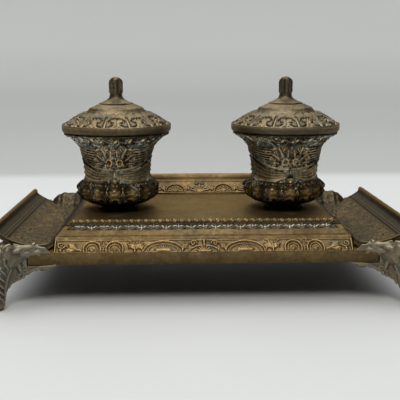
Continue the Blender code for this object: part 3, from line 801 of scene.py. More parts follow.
def make_lid(side, brass):
    """The domed lid: plain stepped crown, scalloped edge, a band of leaf scrolls, and an upright rim."""
    profile = [
        (2.0, 113.5), (9.6, 113.1), (11.6, 112.7), (12.9, 112.3), (13.5, 111.8), (16.6, 110.6),
        (17.5, 110.2), (18.1, 109.7), (20.6, 108.5), (24.6, 106.4), (28.2, 104.3), (31.0, 102.5),
        (32.9, 101.2), (33.5, 100.8), (34.1, 101.0), (34.7, 100.4), (34.8, 99.5), (34.7, 97.0),
        (34.4, 96.0), (33.5, 95.4),
    ]
    inner = [
        (30.9, 95.5), (30.9, 98.4), (29.4, 100.6), (25.6, 103.3), (22.0, 105.3), (17.6, 107.3),
        (13.0, 108.5), (2.0, 108.6),
    ]
    units = 13
    columns = 46
    groove = 6.8  # its distance from the end of the profile
    unit = TAU * 26.0 / units
    relief = lid_relief(unit / 2, unit / columns)

    def height(s):
        shape = (len(s), units * columns)
        wave = 0.3 * smooth_noise(shape, 44, 6) + 0.06 * smooth_noise(shape, 9, 7)
        band = rows_at(tiled(relief, units), relief.v, s[-1] - groove - s)
        return band + wave * np.clip(s / 6 - 1, 0, 1)[:, None]

    x = WELL_X * SIDES[side]
    turn = 0.09 if side == "left" else -0.12
    # measured up from the rim's lower edge: its face painted darker as shade, its top edge painted lighter as
    # highlight; darker in the groove
    rim_light_and_shade = between(
        [0.0, 3.6, 4.8, 6.0, groove, 7.6, 20.0, 24.0], [0.5, 0.34, -0.5, -0.5, 0.5, -0.04, -0.04, 0.04]
    )
    lid = turned(
        f"{side}_lid_cast", profile, inner, height, step=0.3, middle=x, turn=turn, depth=1.3,
        soil_and_painted_light=lambda s: rim_light_and_shade(s[-1] - s),
    )
    dress(lid, f"{side}_lid", brass, "lid_brass", f"{side}_lid")
    barrel = ("cylinder", (2.5, 8.0), Matrix.Translation((x, HINGE_Y, HINGE_Z)) @ ALONG_X)
    web = ("box", (8.0, 5.2, 2.0), Matrix.Translation((x, 34.4, 97.1)))
    dress(bevelled(f"{side}_lid_knuckle", [barrel, web]), f"{side}_lid", brass, "lid_brass")


def make_finial(side, brass):
    """A fluted, round-topped peg."""
    profile = [
        (0.02, 129.8), (1.6, 129.6), (2.8, 128.9), (3.5, 127.7), (3.85, 126.0), (3.85, 121.0),
        (3.85, 118.8), (4.3, 117.1), (5.4, 115.8), (7.4, 114.7), (9.8, 113.75), (11.2, 113.3),
        (10.6, 113.05), (1.5, 113.0), (1.5, 105.4), (0.02, 105.2),
    ]

    def height(s):
        a = TAU * np.arange(FINIAL_COLUMNS) / FINIAL_COLUMNS
        flute = 0.8 * np.abs(np.cos(5 * a)) ** 0.7
        band = np.clip((s - 3.4) / 1.2, 0, 1) * np.clip((13.0 - s) / 1.2, 0, 1)
        rough = 0.07 * smooth_noise((len(s), FINIAL_COLUMNS), 5, 2)
        return band[:, None] * (flute[None, :] - 0.6) + rough

    x = WELL_X * SIDES[side]
    finial = turned(
        f"{side}_finial_cast", profile, [], height, step=0.25, middle=x, depth=0.24,
        soil_and_painted_light=between([0.0, 3.0, 13.0, 17.0, 20.0], [0.2, 0.45, 0.45, 0.3, 0.1]),
    )
    dress(finial, f"{side}_lid", brass, "lid_brass", f"{side}_finial")


def make_pot(side, glaze):
    """The lift-out pot: a necked jar that hangs by its flange."""
    outer = [
        (10.4, 91.8), (12.6, 93.4), (14.2, 93.6), (15.4, 92.8), (16.2, 91.2), (21.6, 90.9),
        (22.0, 90.2), (22.0, 88.8), (21.6, 88.5), (19.0, 88.5), (18.9, 72.4), (17.4, 70.4),
        (15.8, 69.9), (0.02, 69.9),
    ]
    inner = [
        (0.02, 72.6), (13.6, 72.8), (15.4, 73.8), (16.0, 75.0), (16.2, 82.0), (14.6, 85.4),
        (10.6, 87.8), (9.6, 89.6),
    ]
    x = WELL_X * SIDES[side]
    pot = turned(f"{side}_pot_glazed", outer, inner, step=0.5, middle=x)
    dress(pot, "stand", glaze, "porcelain", f"{side}_ink_pot")


# --- tray ----------------------------------------------------------------------------------------


def wing_height(x):
    """Height of a wing's upper face at a distance x from the middle."""
    x = np.asarray(x, float)
    curve = TROUGH_Z + TROUGH_RADIUS - np.sqrt(TROUGH_RADIUS**2 - (x - TROUGH_X) ** 2)
    share = np.clip((x - PLATFORM_X) / (RAMP_END_X - PLATFORM_X), 0, 1)
    ease = np.where(share >= 1, 0.0, 0.5 + 0.5 * np.cos(math.pi * share))
    return curve + (PLATFORM_Z - 0.1 - curve) * ease


def cover(x):
    """The highest that the frame's mouldings may reach at a distance x from the middle.

    Beside a wing that is the wing's own surface, and further out a slope that falls outwards.
    """
    x = np.abs(x)
    ramp = np.where(x > 78.0, wing_height(np.clip(x, 78.0, 94.0)), 99.0)
    return np.where(x > 94.0, np.minimum(ramp, 34.9 - (x - TROUGH_X) * 0.614), ramp)


def crest(x):
    """Height of the gallery's end as it falls in an ogee to the low cresting behind a wing."""
    xs = [76.0, 78.0, 81.0, 83.4, 87.0, 91.0, 95.0, 99.0, 103.0, 107.0, 110.0, 122.0]
    zs = [57.6, 56.6, 53.4, 49.0, 45.4, 43.9, 43.8, 44.2, 42.6, 39.6, 30.0, 30.0]
    return np.interp(x, xs, zs)


def moulding(name, profile, under, half_length, height, step, finish, depth=0.9, soil_and_painted_light=None):
    """A moulded strip along the tray, with a relief of height(s, x) over distances up its profile."""
    line, s, normal = resampled(profile, step)
    columns = int(round(2 * half_length / step)) | 1
    x = np.linspace(-half_length, half_length, columns)
    relief = height(s, x)
    y = line[:, :1] + normal[:, :1] * relief
    z = line[:, 1:] + normal[:, 1:] * relief
    z = np.minimum(z, cover(x)[None, :] + 0.08)
    top = np.stack(np.broadcast_arrays(x[None, :], y, z), -1)
    under = np.asarray(under, float)
    low_z = np.minimum(under[:, 1:], cover(x)[None, :] - 0.8)
    low = np.stack(np.broadcast_arrays(x[None, :], under[:, :1], low_z), -1)
    wear = wear_of(relief, step, False, depth)
    return dress(slab(name, top, wear, low, soil_and_painted_light(s) if soil_and_painted_light else None), "stand", finish, "tray_brass")


def sampled(relief, v, x):
    """A relief's heights at rows v and columns x."""
    j = np.clip(np.interp(v, relief.v, np.arange(len(relief.v))), 0, len(relief.v) - 1.001)
    i = np.clip(np.interp(x, relief.u, np.arange(len(relief.u))), 0, len(relief.u) - 1.001)
    a, b = j.astype(int), i.astype(int)
    fy, fx = (j - a)[:, None], (i - b)[None, :]
    low = relief.h[a][:, b] * (1 - fx) + relief.h[a][:, b + 1] * fx
    high = relief.h[a + 1][:, b] * (1 - fx) + relief.h[a + 1][:, b + 1] * fx
    return low * (1 - fy) + high * fy


def arcade(r, u, rx, ry, base, ribs):
    """An arch with a smaller one inside it and a shell under both."""
    r.stroke(arc((u, base), rx, ry, 0, 180, 30), 0.55, 1.0)
    r.stroke(arc((u, base), rx * 0.78, ry * 0.74, 0, 180, 26), 0.34, 0.6)
    r.shell((u, base - 0.3), 90, ry * 0.62, 150, ribs, 0.75)


def frieze_relief():
    """The ornament under the front strips, from the lip (v = 0) up to the groove (v = 8.2)."""
    r = Relief((-102.0, 102.0), (0.0, 8.4), 0.2)
    arcade(r, 23.7, 11.2, 6.9, 0.4, 9)
    r.boss((23.7, 1.5), 5.4, 1.3, 0.95)
    for u in (51.7, 64.7):
        r.stroke(arc((u, 2.0), 4.9, 5.3, -25, 205, 30), 0.62, 1.1)
        r.stroke(arc((u, 2.0), 3.1, 3.5, -25, 205, 24), 0.42, 0.75)
        r.leaf((u, 0.4), 90, 3.2, 1.7, 0.8, 2)
    r.leaf((40.0, 0.3), 90, 6.8, 3.6, 1.1, 3)
    for hand in (-1, 1):
        r.stroke(spiral((40.0 + hand * 3.6, 5.9), 1.7, 1.2, 90, hand), [0.45, 0.3], 0.95)
        r.stroke(spiral((58.2 + hand * 1.9, 6.4), 1.2, 1.1, 90, hand), [0.4, 0.25], 0.85)
    r.leaf((58.2, 0.4), 90, 5.2, 1.8, 0.8, 2)
    r.leaf((70.8, 1.2), 18, 10.5, 3.4, 1.1, 4)
    r.stroke(spiral((82.6, 5.0), 2.5, 1.4, 200, 1), [0.55, 0.35], 1.05)
    r.boss((82.8, 1.6), 1.3, 1.2, 0.9)
    r.stroke([(86.0, 0.2), (86.0, 8.0)], 0.75, 1.0)
    r.leaf((88.6, 0.6), 6, 10.5, 2.8, 1.0, 4)
    for u, angle in ((35.6, 74), (12.4, 104)):
        r.leaf((u, 0.6), angle, 6.6, 2.2, 0.85, 3)
    r.stroke(spiral((6.2, 5.7), 2.1, 1.4, 180, -1), [0.55, 0.35], 1.1)
    r.stroke(bezier((0, 7.7), (3.0, 8.1), (8.4, 8.2), (8.8, 5.4)), 0.42, 0.9)
    r.stroke(arc((0, -0.2), 8.6, 4.5, 8, 90), 0.45, 1.0)
    mirrored(r)
    r.stroke([(0, 4.0), (0, 8.2)], [0.7, 1.2], 1.2)
    r.shell((0, 0.0), 90, 3.7, 150, 7, 0.9)
    r.boss((0, 6.4), 1.0, 1.1, 1.4)
    for v, broad in ((0.1, 0.45), (8.3, 0.4)):
        r.stroke([(-102, v), (102, v)], broad, 0.6)
    r.grain(0.06, 0.7, 11)
    return r


def channel_relief():
    """The leafy pen channel and the beaded edge behind it, from the channel's front up to 15.4."""
    r = Relief((-90.0, 90.0), (0.0, 16.0), 0.2)
    for k in range(-12, 13):
        u = 7.4 * k
        tall = 5.4 if k % 2 == 0 else 4.4
        r.leaf((u, 5.8), 90, tall - 0.4, 3.2, 1.5, 3)
        for hand in (-1, 1):
            hook = ((0.9, 6.6), (1.4, 9.4), (2.8, 10.2), (3.3, 8.4))
            r.stroke(bezier(*((u + hand * a, v) for a, v in hook)), 0.5, 1.2)
    for k in range(-20, 21):
        u = 4.3 * k
        r.boss((u, 12.6), 1.8, 1.55, 0.8, 14.0)
        r.stroke([(u - 1.1, 11.6), (u + 1.1, 13.2)], 0.25, 0.3, "cut")
        r.boss((u + 2.15, 12.6), 0.34, 1.5, 0.65)
    r.stroke([(-90, 10.75), (90, 10.75)], 0.3, 0.3)
    r.grain(0.07, 0.5, 12)
    r.grain(0.06, 1.6, 13)
    return r


def gallery_relief():
    """The arcade along the sloping face of the gallery, from v = 1 up to 12.5."""
    r = Relief((-78.0, 78.0), (0.0, 14.0), 0.22)
    for k in (-3, -1, 1, 3):
        u = 17.3 * k
        arcade(r, u, 6.6, 6.8, 2.2, 7)
        r.boss((u, 3.0), 2.6, 1.3, 1.1)
        for hand in (-1, 1):
            r.leaf((u + hand * 7.6, 2.0), 90 - hand * 14, 7.0, 2.6, 0.9, 3)
    for k in (-4, -2, 0, 2, 4):
        u = 17.3 * k
        r.shell((u, 1.8), 90, 5.2, 140, 7, 0.95)
        r.stroke(arc((u, 1.8), 6.4, 6.2, 15, 165, 24), 0.4, 0.8)
        for hand in (-1, 1):
            r.stroke(spiral((u + hand * 2.3, 10.3), 1.7, 1.25, 90, hand), [0.5, 0.35], 1.0)
    r.stroke([(-78, 1.2), (78, 1.2)], 0.5, 0.6)
    r.stroke([(-78, 12.4), (78, 12.4)], 0.45, 0.5)
    r.grain(0.06, 0.8, 14)
    return r


def wing_relief():
    """Low foliage in a wing's trough, with its beaded border and roped rim. u is x and v is y."""
    r = Relief((76.0, 122.0), (-61.0, 61.0), 0.25)
    for hand in (-1, 1):
        stem = bezier((97.0, hand * 2.0), (88.0, hand * 10.0), (88.0, hand * 30.0), (98.0, hand * 36.0))
        r.stroke(stem, [1.3, 1.1], 0.4)
        r.stroke(spiral((99.5, hand * 27.0), 9.6, 1.7, 90 * hand, -hand), [1.3, 0.9], [0.45, 0.35])
        r.stroke(spiral((91.5, hand * 46.0), 6.2, 1.5, -90 * hand, hand), [1.1, 0.8], [0.4, 0.3])
        r.stroke(spiral((105.5, hand * 48.0), 5.4, 1.4, -60 * hand, -hand), [1.0, 0.7], [0.35, 0.3])
        for u, v, angle, size in (
            (91, 12, 150, 9), (104, 12, 20, 8), (90, 30, 190, 7), (108, 34, 40, 7), (97, 41, 80, 9),
            (88, 38, 140, 7), (84, 22, 170, 6), (110, 22, -10, 6), (99, 52, 60, 6), (85, 52, 130, 5),
            (103, 3, 10, 8), (92, 3, 175, 8),
        ):
            r.leaf((u, hand * v), hand * angle, size, size * 0.46, 0.34, 3)
    r.rosette((97.5, 0.0), 4.6, 8, 0.7)
    ripple = smooth_noise(r.h.shape, 9, 21) + 0.6 * smooth_noise(r.h.shape, 4, 22)
    v, u = np.meshgrid(r.v, r.u, indexing="ij")
    field = np.clip((u - 80) / 2, 0, 1) * np.clip((112.5 - u) / 1.5, 0, 1)
    field = field * np.clip((58.0 - np.abs(v)) / 1.5, 0, 1)
    waves = 0.2 * np.sin(1.3 * v + 0.12 * u + 2.6 * ripple)
    r.h = (0.7 * r.h + 0.8 * waves + 0.1 * ripple) * field
    r.stroke([(113.2, -58), (113.2, 58)], 0.6, 0.55)
    r.stroke([(114.7, -60), (114.7, 60)], 0.4, 0.3)
    r.stroke([(119.9, -61), (119.9, 61)], 1.5, 1.5)
    for v in np.arange(-60.0, 60.5, 1.9):
        r.stroke([(118.6, v - 0.5), (121.0, v + 0.5)], 0.3, 0.4, "cut")
    for hand in (-1, 1):
        r.stroke([(88.0, hand * 59.3), (119.0, hand * 59.3)], 0.7, 0.45)
    r.grain(0.05, 0.9, 23)
    return r


def wing_piece(name, side, relief, x_range, y_range, finish, step=0.34):
    """Part of a wing's skin. Behind, it climbs to the cresting at the gallery's end."""
    x = np.linspace(*x_range, int((x_range[1] - x_range[0]) / step * 1.15) + 1)
    y = np.linspace(*y_range, int((y_range[1] - y_range[0]) / step) + 1)
    height = sampled(relief, y, x)
    base = wing_height(x)[None, :] + 0.12
    bank = crest(x)[None, :] + 0.15 - 0.8 * np.clip(57.3 - y, 0, None)[:, None]
    scallop = 0.35 * np.abs(np.sin(x * 0.62))[None, :] * (bank > base)
    lift = np.log1p(np.exp(np.clip((bank + scallop - base) * 2.2, -30, 30))) / 2.2
    z = base + height + lift
    top = np.stack(np.broadcast_arrays(side * x[None, :], y[:, None], z), -1)
    low_z = wing_height(x)[None, :] - 1.2
    low = np.stack(np.broadcast_arrays(side * x[None, :], np.array([[y[0]], [y[-1]]]), low_z), -1)
    wear = 0.46 + 0.75 * (wear_of(height + 0.3 * lift, step, False, 0.4) - 0.5)
    return dress(slab(name, top, wear, low), "stand", finish, "tray_brass")


def make_fascia(finish):
    """The plain lip and the frieze above it."""
    frieze = frieze_relief()
    fascia = [(-60.1, 24.35), (-60.15, 30.2), (-60.6, 30.8), (-60.25, 31.5), (-54.2, 37.05), (-53.8, 37.75)]

    def frieze_height(s, x):
        band = np.clip((s - 7.3) / 0.3, 0, 1) * np.clip((s[-1] - 0.5 - s) / 0.3, 0, 1)
        dents = 0.07 * smooth_noise((len(s), len(x)), 14, 9) + 0.04 * smooth_noise((len(s), len(x)), 4, 10)
        return sampled(frieze, s - 7.3, x) * band[:, None] + dents

    under = [(-58.6, 24.6), (-58.4, 30.4), (-53.2, 36.4)]
    moulding(
        "tray_frieze", fascia, under, 101.5, frieze_height, 0.24, finish,
        # darker towards the bottom, and a painted highlight along the lip's bead
        soil_and_painted_light=between([0, 3.0, 6.0, 7.0, 8.0], [0.48, 0.2, -0.1, -0.4, -0.12]),
    )


def make_strips(finish):
    """The stepped strips between the frieze and the pen channel."""
    strips = [(-53.8, 37.7), (-51.9, 39.0), (-51.5, 38.6), (-51.1, 39.7), (-48.5, 42.15), (-47.9, 42.0)]
    under = [(-53.0, 36.8), (-50.0, 38.0), (-48.0, 38.6)]

    def strip_height(s, x):
        return 0.1 * smooth_noise((len(s), len(x)), 18, 15) + 0.05 * smooth_noise((len(s), len(x)), 4, 16)

    moulding(
        "tray_strips", strips, under, STRIP_END, strip_height, 0.3, finish,
        soil_and_painted_light=between([0.0, 2.0, 2.5, 3.0, 3.6, 7.4], [0.32, 0.24, 0.64, 0.64, 0.26, 0.32]),
    )


def make_channel(finish, bead_finish):
    """The pen channel's hollow, and the beaded edge behind it."""
    channel = channel_relief()
    groove = [
        (-47.9, 42.0), (-47.2, 40.5), (-45.6, 39.5), (-43.8, 39.5), (-42.4, 40.5), (-41.75, 43.6),
        (-42.1, 44.4),
    ]
    under = [(-48.0, 38.6), (-41.4, 38.6), (-41.0, 43.6)]
    moulding("tray_channel", groove, under, STRIP_END, lambda s, x: sampled(channel, s, x), 0.25, finish)
    bead = [(-42.2, 44.2), (-41.9, 45.6), (-41.0, 46.4), (-40.0, 46.5), (-39.2, 46.1)]
    under = [(-41.2, 43.7), (-40.4, 44.4), (-39.3, 45.0)]
    start = 10.9  # where the beads begin in the relief

    def bead_height(s, x):
        return sampled(channel, s + start, x)

    moulding("tray_beads", bead, under, STRIP_END, bead_height, 0.25, bead_finish)


def make_gallery(finish):
    """The low wall along the back."""
    gallery = gallery_relief()
    back = [
        (42.7, 46.05), (43.3, 46.9), (44.0, 47.35), (53.4, 54.45), (53.9, 54.8), (54.5, 56.5),
        (55.5, 58.2), (57.4, 58.85), (59.3, 58.45), (60.15, 57.0), (60.15, 50.0),
    ]
    low = [(43.6, 45.6), (54.4, 53.4), (58.2, 56.6), (59.2, 50.2)]

    def gallery_height(s, x):
        return sampled(gallery, s, x) * (s < 14)[:, None]

    moulding(
        "tray_gallery", back, low, 77.9, gallery_height, 0.26, finish, 1.7,
        soil_and_painted_light=between([0.0, 12.0, 14.0, 18.0], [-0.02, -0.02, 0.3, 0.06]),
    )


def make_wings(finish):
    """Both upturned ends, each as a ramp and a trough."""
    relief = wing_relief()
    for name, side in SIDES.items():
        wing_piece(f"tray_{name}_ramp", side, relief, (77.4, HIP_X), (-39.3, 59.9), finish)
        wing_piece(f"tray_{name}_trough", side, relief, (HIP_X, TRAY_X + 0.1), (-60.0, 59.9), finish)


# --- legs ----------------------------------------------------------------------------------------

LEG_HEADING = math.radians(35.0)
LEG_ROOT = np.array([104.0, 56.0])


def leg_at(along, aside, z):
    """A point on the rear right leg: outwards and sideways from its root, and up, in mm."""
    c, s = math.cos(LEG_HEADING), math.sin(LEG_HEADING)
    return (LEG_ROOT[0] + along * c - aside * s, LEG_ROOT[1] + along * s + aside * c, z)


def tube(points, radii, bm):
    """A round tube of varying radius, closed at both ends, added to a mesh."""
    points = [Vector(p) for p in points]
    radii = lerp_along(radii, len(points))
    rings = []
    for k, p in enumerate(points):
        ahead = (points[min(k + 1, len(points) - 1)] - points[max(k - 1, 0)]).normalized()
        if k == 0:
            side_a = ahead.orthogonal().normalized()
        else:
            side_a = (side_a - ahead * side_a.dot(ahead)).normalized()
        side_b = ahead.cross(side_a)
        ring = []
        for i in range(10):
            a = TAU * i / 10
            ring.append(bm.verts.new(p + (side_a * math.cos(a) + side_b * math.sin(a)) * radii[k]))
        rings.append(ring)
    for low, high in zip(rings, rings[1:]):
        for i in range(10):
            bm.faces.new((low[i], low[(i + 1) % 10], high[(i + 1) % 10], high[i]))
    bm.faces.new(rings[0][::-1])
    bm.faces.new(rings[-1])


def ball(centre, radii, bm, angle=LEG_HEADING):
    """An ellipsoid, its first two radii turned by an angle about the vertical."""
    place = Matrix.Translation(centre) @ Matrix.Rotation(angle, 4, "Z") @ Matrix.Diagonal((*radii, 1.0))
    bmesh.ops.create_uvsphere(bm, u_segments=20, v_segments=12, radius=1.0, matrix=place)


def block(outline, thickness, to_world, bm):
    """An outline of (a, z) points made solid. to_world takes (a, offset, z) to a point."""
    fronts = [bm.verts.new(to_world(a, thickness / 2, z)) for a, z in outline]
    backs = [bm.verts.new(to_world(a, -thickness / 2, z)) for a, z in outline]
    bm.faces.new(fronts)
    bm.faces.new(backs[::-1])
    for i in range(len(outline)):
        j = (i + 1) % len(outline)
        bm.faces.new((fronts[i], backs[i], backs[j], fronts[j]))


LEG_PATH = [
    (-1.0, 29.0, 4.5), (3.6, 30.4, 5.8), (8.2, 29.6, 6.4), (11.8, 26.0, 5.6), (13.6, 20.6, 4.3),
    (14.5, 14.8, 3.2), (15.0, 9.0, 2.7), (15.7, 4.4, 2.8), (16.8, 2.9, 2.8),
]


def knee(t, turn, proud):
    """A point proud of the leg's surface. t runs from shoulder to toe, and turn 0 faces outwards."""
    path = np.array(LEG_PATH)
    k = np.linspace(0, 1, len(path))
    a, z, r = (np.interp(t, k, path[:, i]) for i in range(3))
    da = np.interp(min(t + 0.03, 1), k, path[:, 0]) - np.interp(max(t - 0.03, 0), k, path[:, 0])
    dz = np.interp(min(t + 0.03, 1), k, path[:, 1]) - np.interp(max(t - 0.03, 0), k, path[:, 1])
    size = math.hypot(da, dz) or 1.0
    out_a, out_z = -dz / size, da / size
    reach = r + proud
    c, s = math.cos(turn), math.sin(turn)
    return leg_at(a + out_a * reach * c, reach * s, z + out_z * reach * c)


def shape_limb(bm):
    """The leg itself, down to a scrolled toe."""
    tube([leg_at(a, 0, z) for a, z, _ in LEG_PATH], [r for _, _, r in LEG_PATH], bm)
    ball(leg_at(18.6, 0, 2.8), (5.4, 4.3, 2.8), bm)
    for aside in (-2.7, 0.0, 2.7):
        ball(leg_at(21.8 - 0.25 * abs(aside), aside, 2.3), (2.5, 1.7, 2.2), bm, LEG_HEADING + aside * 0.09)


def shape_knee(bm):
    """An acanthus leaf that hangs over the knee, and an oval boss ringed by a leaf on each flank."""
    tube([knee(t, 0, 0.3) for t in np.linspace(0.3, 0.84, 12)], [0.7, 1.1, 0.8, 0.5], bm)
    for k in range(6):
        start = 0.3 + 0.085 * k
        for hand in (-1, 1):
            line = []
            for f in np.linspace(0, 1, 9):
                turn = hand * (0.15 + 1.5 * f**0.8)
                line.append(knee(start + 0.12 * f, turn, 0.15 + 0.6 * math.sin(math.pi * f)))
            tube(line, [0.45, 1.0, 0.85, 0.5], bm)
    for hand in (-1, 1):
        tube([knee(t, hand * 2.0, 0.2) for t in np.linspace(0.4, 0.95, 12)], [0.5, 0.85, 0.7, 0.5], bm)
        ball(leg_at(11.4, hand * 3.9, 32.6), (3.3, 2.3, 4.4), bm)
        around = np.linspace(0.4, 5.6, 26)
        ring = [leg_at(11.4 + 4.0 * math.cos(a), hand * 4.2, 32.6 + 5.1 * math.sin(a)) for a in around]
        tube(ring, [0.6, 0.9, 1.0, 0.9, 0.6], bm)
        stem = ((12.8, 4.4, 28.0), (14.8, 3.6, 24.4), (15.4, 2.7, 20.2))
        tube([leg_at(along, hand * aside, z) for along, aside, z in stem], [0.9, 1.0, 0.5], bm)
    ball(leg_at(14.6, 0, 32.0), (1.7, 2.4, 3.6), bm)


def shape_corner(bm):
    """A plate that wraps the frame's corner under the wing, with leaves spreading over it."""
    ball(leg_at(5.6, 0, 33.8), (7.0, 6.6, 2.6), bm)
    plate = [
        (88.0, 31.6), (91.0, 35.2), (97.0, 35.5), (103.0, 36.2), (109.0, 37.6), (110.6, 34.0),
        (110.0, 25.0), (106.0, 24.4), (105.0, 31.4),
    ]
    block(plate, 2.6, lambda a, offset, z: (a, 59.6 + offset, z), bm)
    flank = [(44.0, 25.0), (44.0, 30.2), (50.0, 33.0), (56.0, 34.6), (60.6, 35.2), (60.6, 24.4)]
    block(flank, 3.0, lambda a, offset, z: (103.6 + offset, a, z), bm)
    sprays = [
        ([(107.0, 61.4, 35.0), (101.5, 61.0, 34.6), (96.0, 59.2, 34.7), (90.0, 57.4, 35.9)],
         [1.7, 2.0, 1.6, 0.8]),
        ([(107.0, 61.8, 31.6), (101.5, 61.6, 31.5), (96.0, 60.5, 32.2), (90.6, 59.6, 32.6)],
         [1.8, 2.0, 1.5, 0.8]),
        ([(108.6, 61.8, 28.4), (107.0, 61.9, 27.4), (106.2, 61.7, 25.2), (105.4, 61.0, 23.0)],
         [1.5, 1.5, 1.4, 1.0]),
        ([(105.6, 60.6, 35.2), (105.4, 54.0, 33.6), (103.6, 48.6, 32.6), (102.2, 43.0, 32.8)],
         [1.6, 1.8, 1.4, 0.8]),
        ([(106.2, 60.6, 31.0), (105.2, 54.4, 29.6), (103.4, 49.4, 28.6), (102.0, 44.0, 28.4)],
         [1.6, 1.8, 1.4, 0.8]),
    ]
    for line, radii in sprays:
        smooth = bezier(*line, 16)
        tube(smooth, radii, bm)
        for f in (4, 7, 10):
            rise = np.array([0.0, 0.0, 2.4 if f % 2 else -2.2])
            step = smooth[f + 1] - smooth[f]
            tip = smooth[f] + 2.6 * step / np.linalg.norm(step) + rise
            tube([smooth[f], (smooth[f] + tip) / 2 + 0.2 * rise, tip], [1.2, 1.2, 0.7], bm)
    for at, r in (((99.4, 60.8, 33.2), 1.7), ((93.6, 59.0, 34.2), 1.2), ((104.6, 51.4, 31.2), 1.6)):
        ball(at, (r, r, r), bm)


def shape_aprons(bm):
    """Aprons under the fascia and under the frame's end, each with a scrolled lower edge."""

    def front(a, offset, z):
        return (a, 58.6 + offset, z)

    def end(a, offset, z):
        return (103.2 + offset, a, z)

    lower = [
        (85.0, 24.0), (90.0, 23.2), (95.0, 22.7), (99.0, 21.2), (103.0, 19.4), (106.6, 16.6),
        (109.4, 15.0),
    ]
    block(lower + [(110.4, 24.0)], 2.4, front, bm)
    edge = lower + [(112.0, 13.4), (113.4, 10.4)]
    tube([front(a, 1.0, z + 0.3) for a, z in edge], [0.6, 1.1, 1.2, 1.1, 0.8], bm)
    side = [(42.0, 24.0), (47.0, 23.2), (52.0, 22.2), (56.0, 20.4), (59.0, 18.6)]
    block(side + [(60.6, 24.0)], 2.4, end, bm)
    tube([end(a, 1.0, z + 0.3) for a, z in side + [(61.6, 17.0)]], [0.6, 1.1, 1.2, 0.9], bm)
    for a, z, r in ((92.0, 23.2, 1.0), (97.0, 22.6, 1.4), (102.0, 20.8, 1.8), (107.0, 17.4, 1.6)):
        ball(front(a, 1.1, z - 0.6), (r, 1.0, r), bm, 0.0)
    for a, z, r in ((49.0, 23.0, 1.0), (54.4, 22.0, 1.5)):
        ball(end(a, 1.1, z - 0.5), (1.0, r, r), bm, 0.0)
    for k in range(5):
        a = math.radians(150 + 28 * k)
        tip = (107.0 + 4.6 * math.cos(a), 21.6 + 4.6 * math.sin(a))
        middle = ((107.0 + tip[0]) / 2, (21.6 + tip[1]) / 2)
        ray = [front(107.0, 1.4, 21.6), front(middle[0], 1.9, middle[1]), front(tip[0], 1.3, tip[1])]
        tube(ray, [0.5, 0.9, 0.5], bm)


def shape_webs(bm):
    """An upright web on the leg's inner side, and a flat pad under the tray's corner."""
    web = [
        (-13.0, 23.8), (-4.0, 22.2), (2.0, 19.8), (7.0, 16.8), (10.8, 13.2), (13.0, 8.6), (15.2, 8.6),
        (13.4, 23.8),
    ]
    block(web, 4.4, leg_at, bm)
    pad = [(90.0, 21.0), (104.5, 21.0), (104.5, 23.7), (90.0, 23.7)]
    block(pad, 14.0, lambda a, offset, z: (a, 51.0 + offset, z), bm)


def sculpt_leg():
    """One leg in clay, its shapes fused and softened."""
    bm = bmesh.new()
    for shape in (shape_limb, shape_knee, shape_corner, shape_aprons, shape_webs):
        shape(bm)
    bmesh.ops.recalc_face_normals(bm, faces=bm.faces)
    bmesh.ops.scale(bm, vec=(MM, MM, MM), verts=bm.verts)
    mesh = bpy.data.meshes.new("leg_clay")
    bm.to_mesh(mesh)
    bm.free()
    clay = new_object("leg_clay", mesh)
    fuse = clay.modifiers.new("Fuse", "REMESH")
    fuse.mode = "VOXEL"
    fuse.voxel_size = 0.34 * MM
    soften = clay.modifiers.new("Soften", "SMOOTH")
    soften.factor = 0.5
    soften.iterations = 2
    return apply_modifiers(clay)


def curvature_wear(co, edges, normals, rounds=6, depth=0.13):
    """Wear for a free-form mesh: high where it bulges and low where it folds in."""
    soft = co.copy()
    count = np.bincount(edges.reshape(-1), minlength=len(co))[:, None]
    for _ in range(rounds):
        total = np.zeros_like(soft)
        for axis in range(3):
            total[:, axis] = np.bincount(edges[:, 0], soft[edges[:, 1], axis], len(co))
            total[:, axis] += np.bincount(edges[:, 1], soft[edges[:, 0], axis], len(co))
        soft = 0.5 * soft + 0.5 * total / np.maximum(count, 1)
    bulge = np.einsum("ij,ij->i", co - soft, normals) / MM
    return np.clip(0.5 + 0.5 * bulge / depth, 0, 1)


def arrays_of(mesh):
    """A mesh's points, their normals and its edges."""
    co = np.empty(len(mesh.vertices) * 3, np.float32)
    mesh.vertices.foreach_get("co", co)
    normals = np.empty(len(mesh.vertices) * 3, np.float32)
    mesh.vertices.foreach_get("normal", normals)
    edges = np.empty(len(mesh.edges) * 2, np.int32)
    mesh.edges.foreach_get("vertices", edges)
    return co.reshape(-1, 3).astype(float), normals.reshape(-1, 3).astype(float), edges.reshape(-1, 2)


def make_legs(finish):
    """Four mirrored copies of one leg."""
    clay = sculpt_leg()
    co, normals, edges = arrays_of(clay.data)
    wear = curvature_wear(co, edges, normals)
    co[:, 2] = np.maximum(co[:, 2], 0.0)
    for end, end_name in ((-1, "front"), (1, "rear")):
        for side_name, side in SIDES.items():
            leg = clay.copy()
            leg.data = clay.data.copy()
            leg.name = leg.data.name = f"{end_name}_{side_name}_leg_cast"
            bpy.context.scene.collection.objects.link(leg)
            placed = co * np.array([side, end, 1])
            leg.data.vertices.foreach_set("co", placed.astype(np.float32).reshape(-1))
            layer = leg.data.attributes.new("wear", "FLOAT", "POINT")
            layer.data.foreach_set("value", wear.astype(np.float32))
            leg.data.update()
            point_outwards(leg)
            leg.data.shade_smooth()
            dress(leg, "stand", finish, "leg_brass", f"{end_name}_{side_name}_leg")
    bpy.data.objects.remove(clay)


# --- stage ---------------------------------------------------------------------------------------


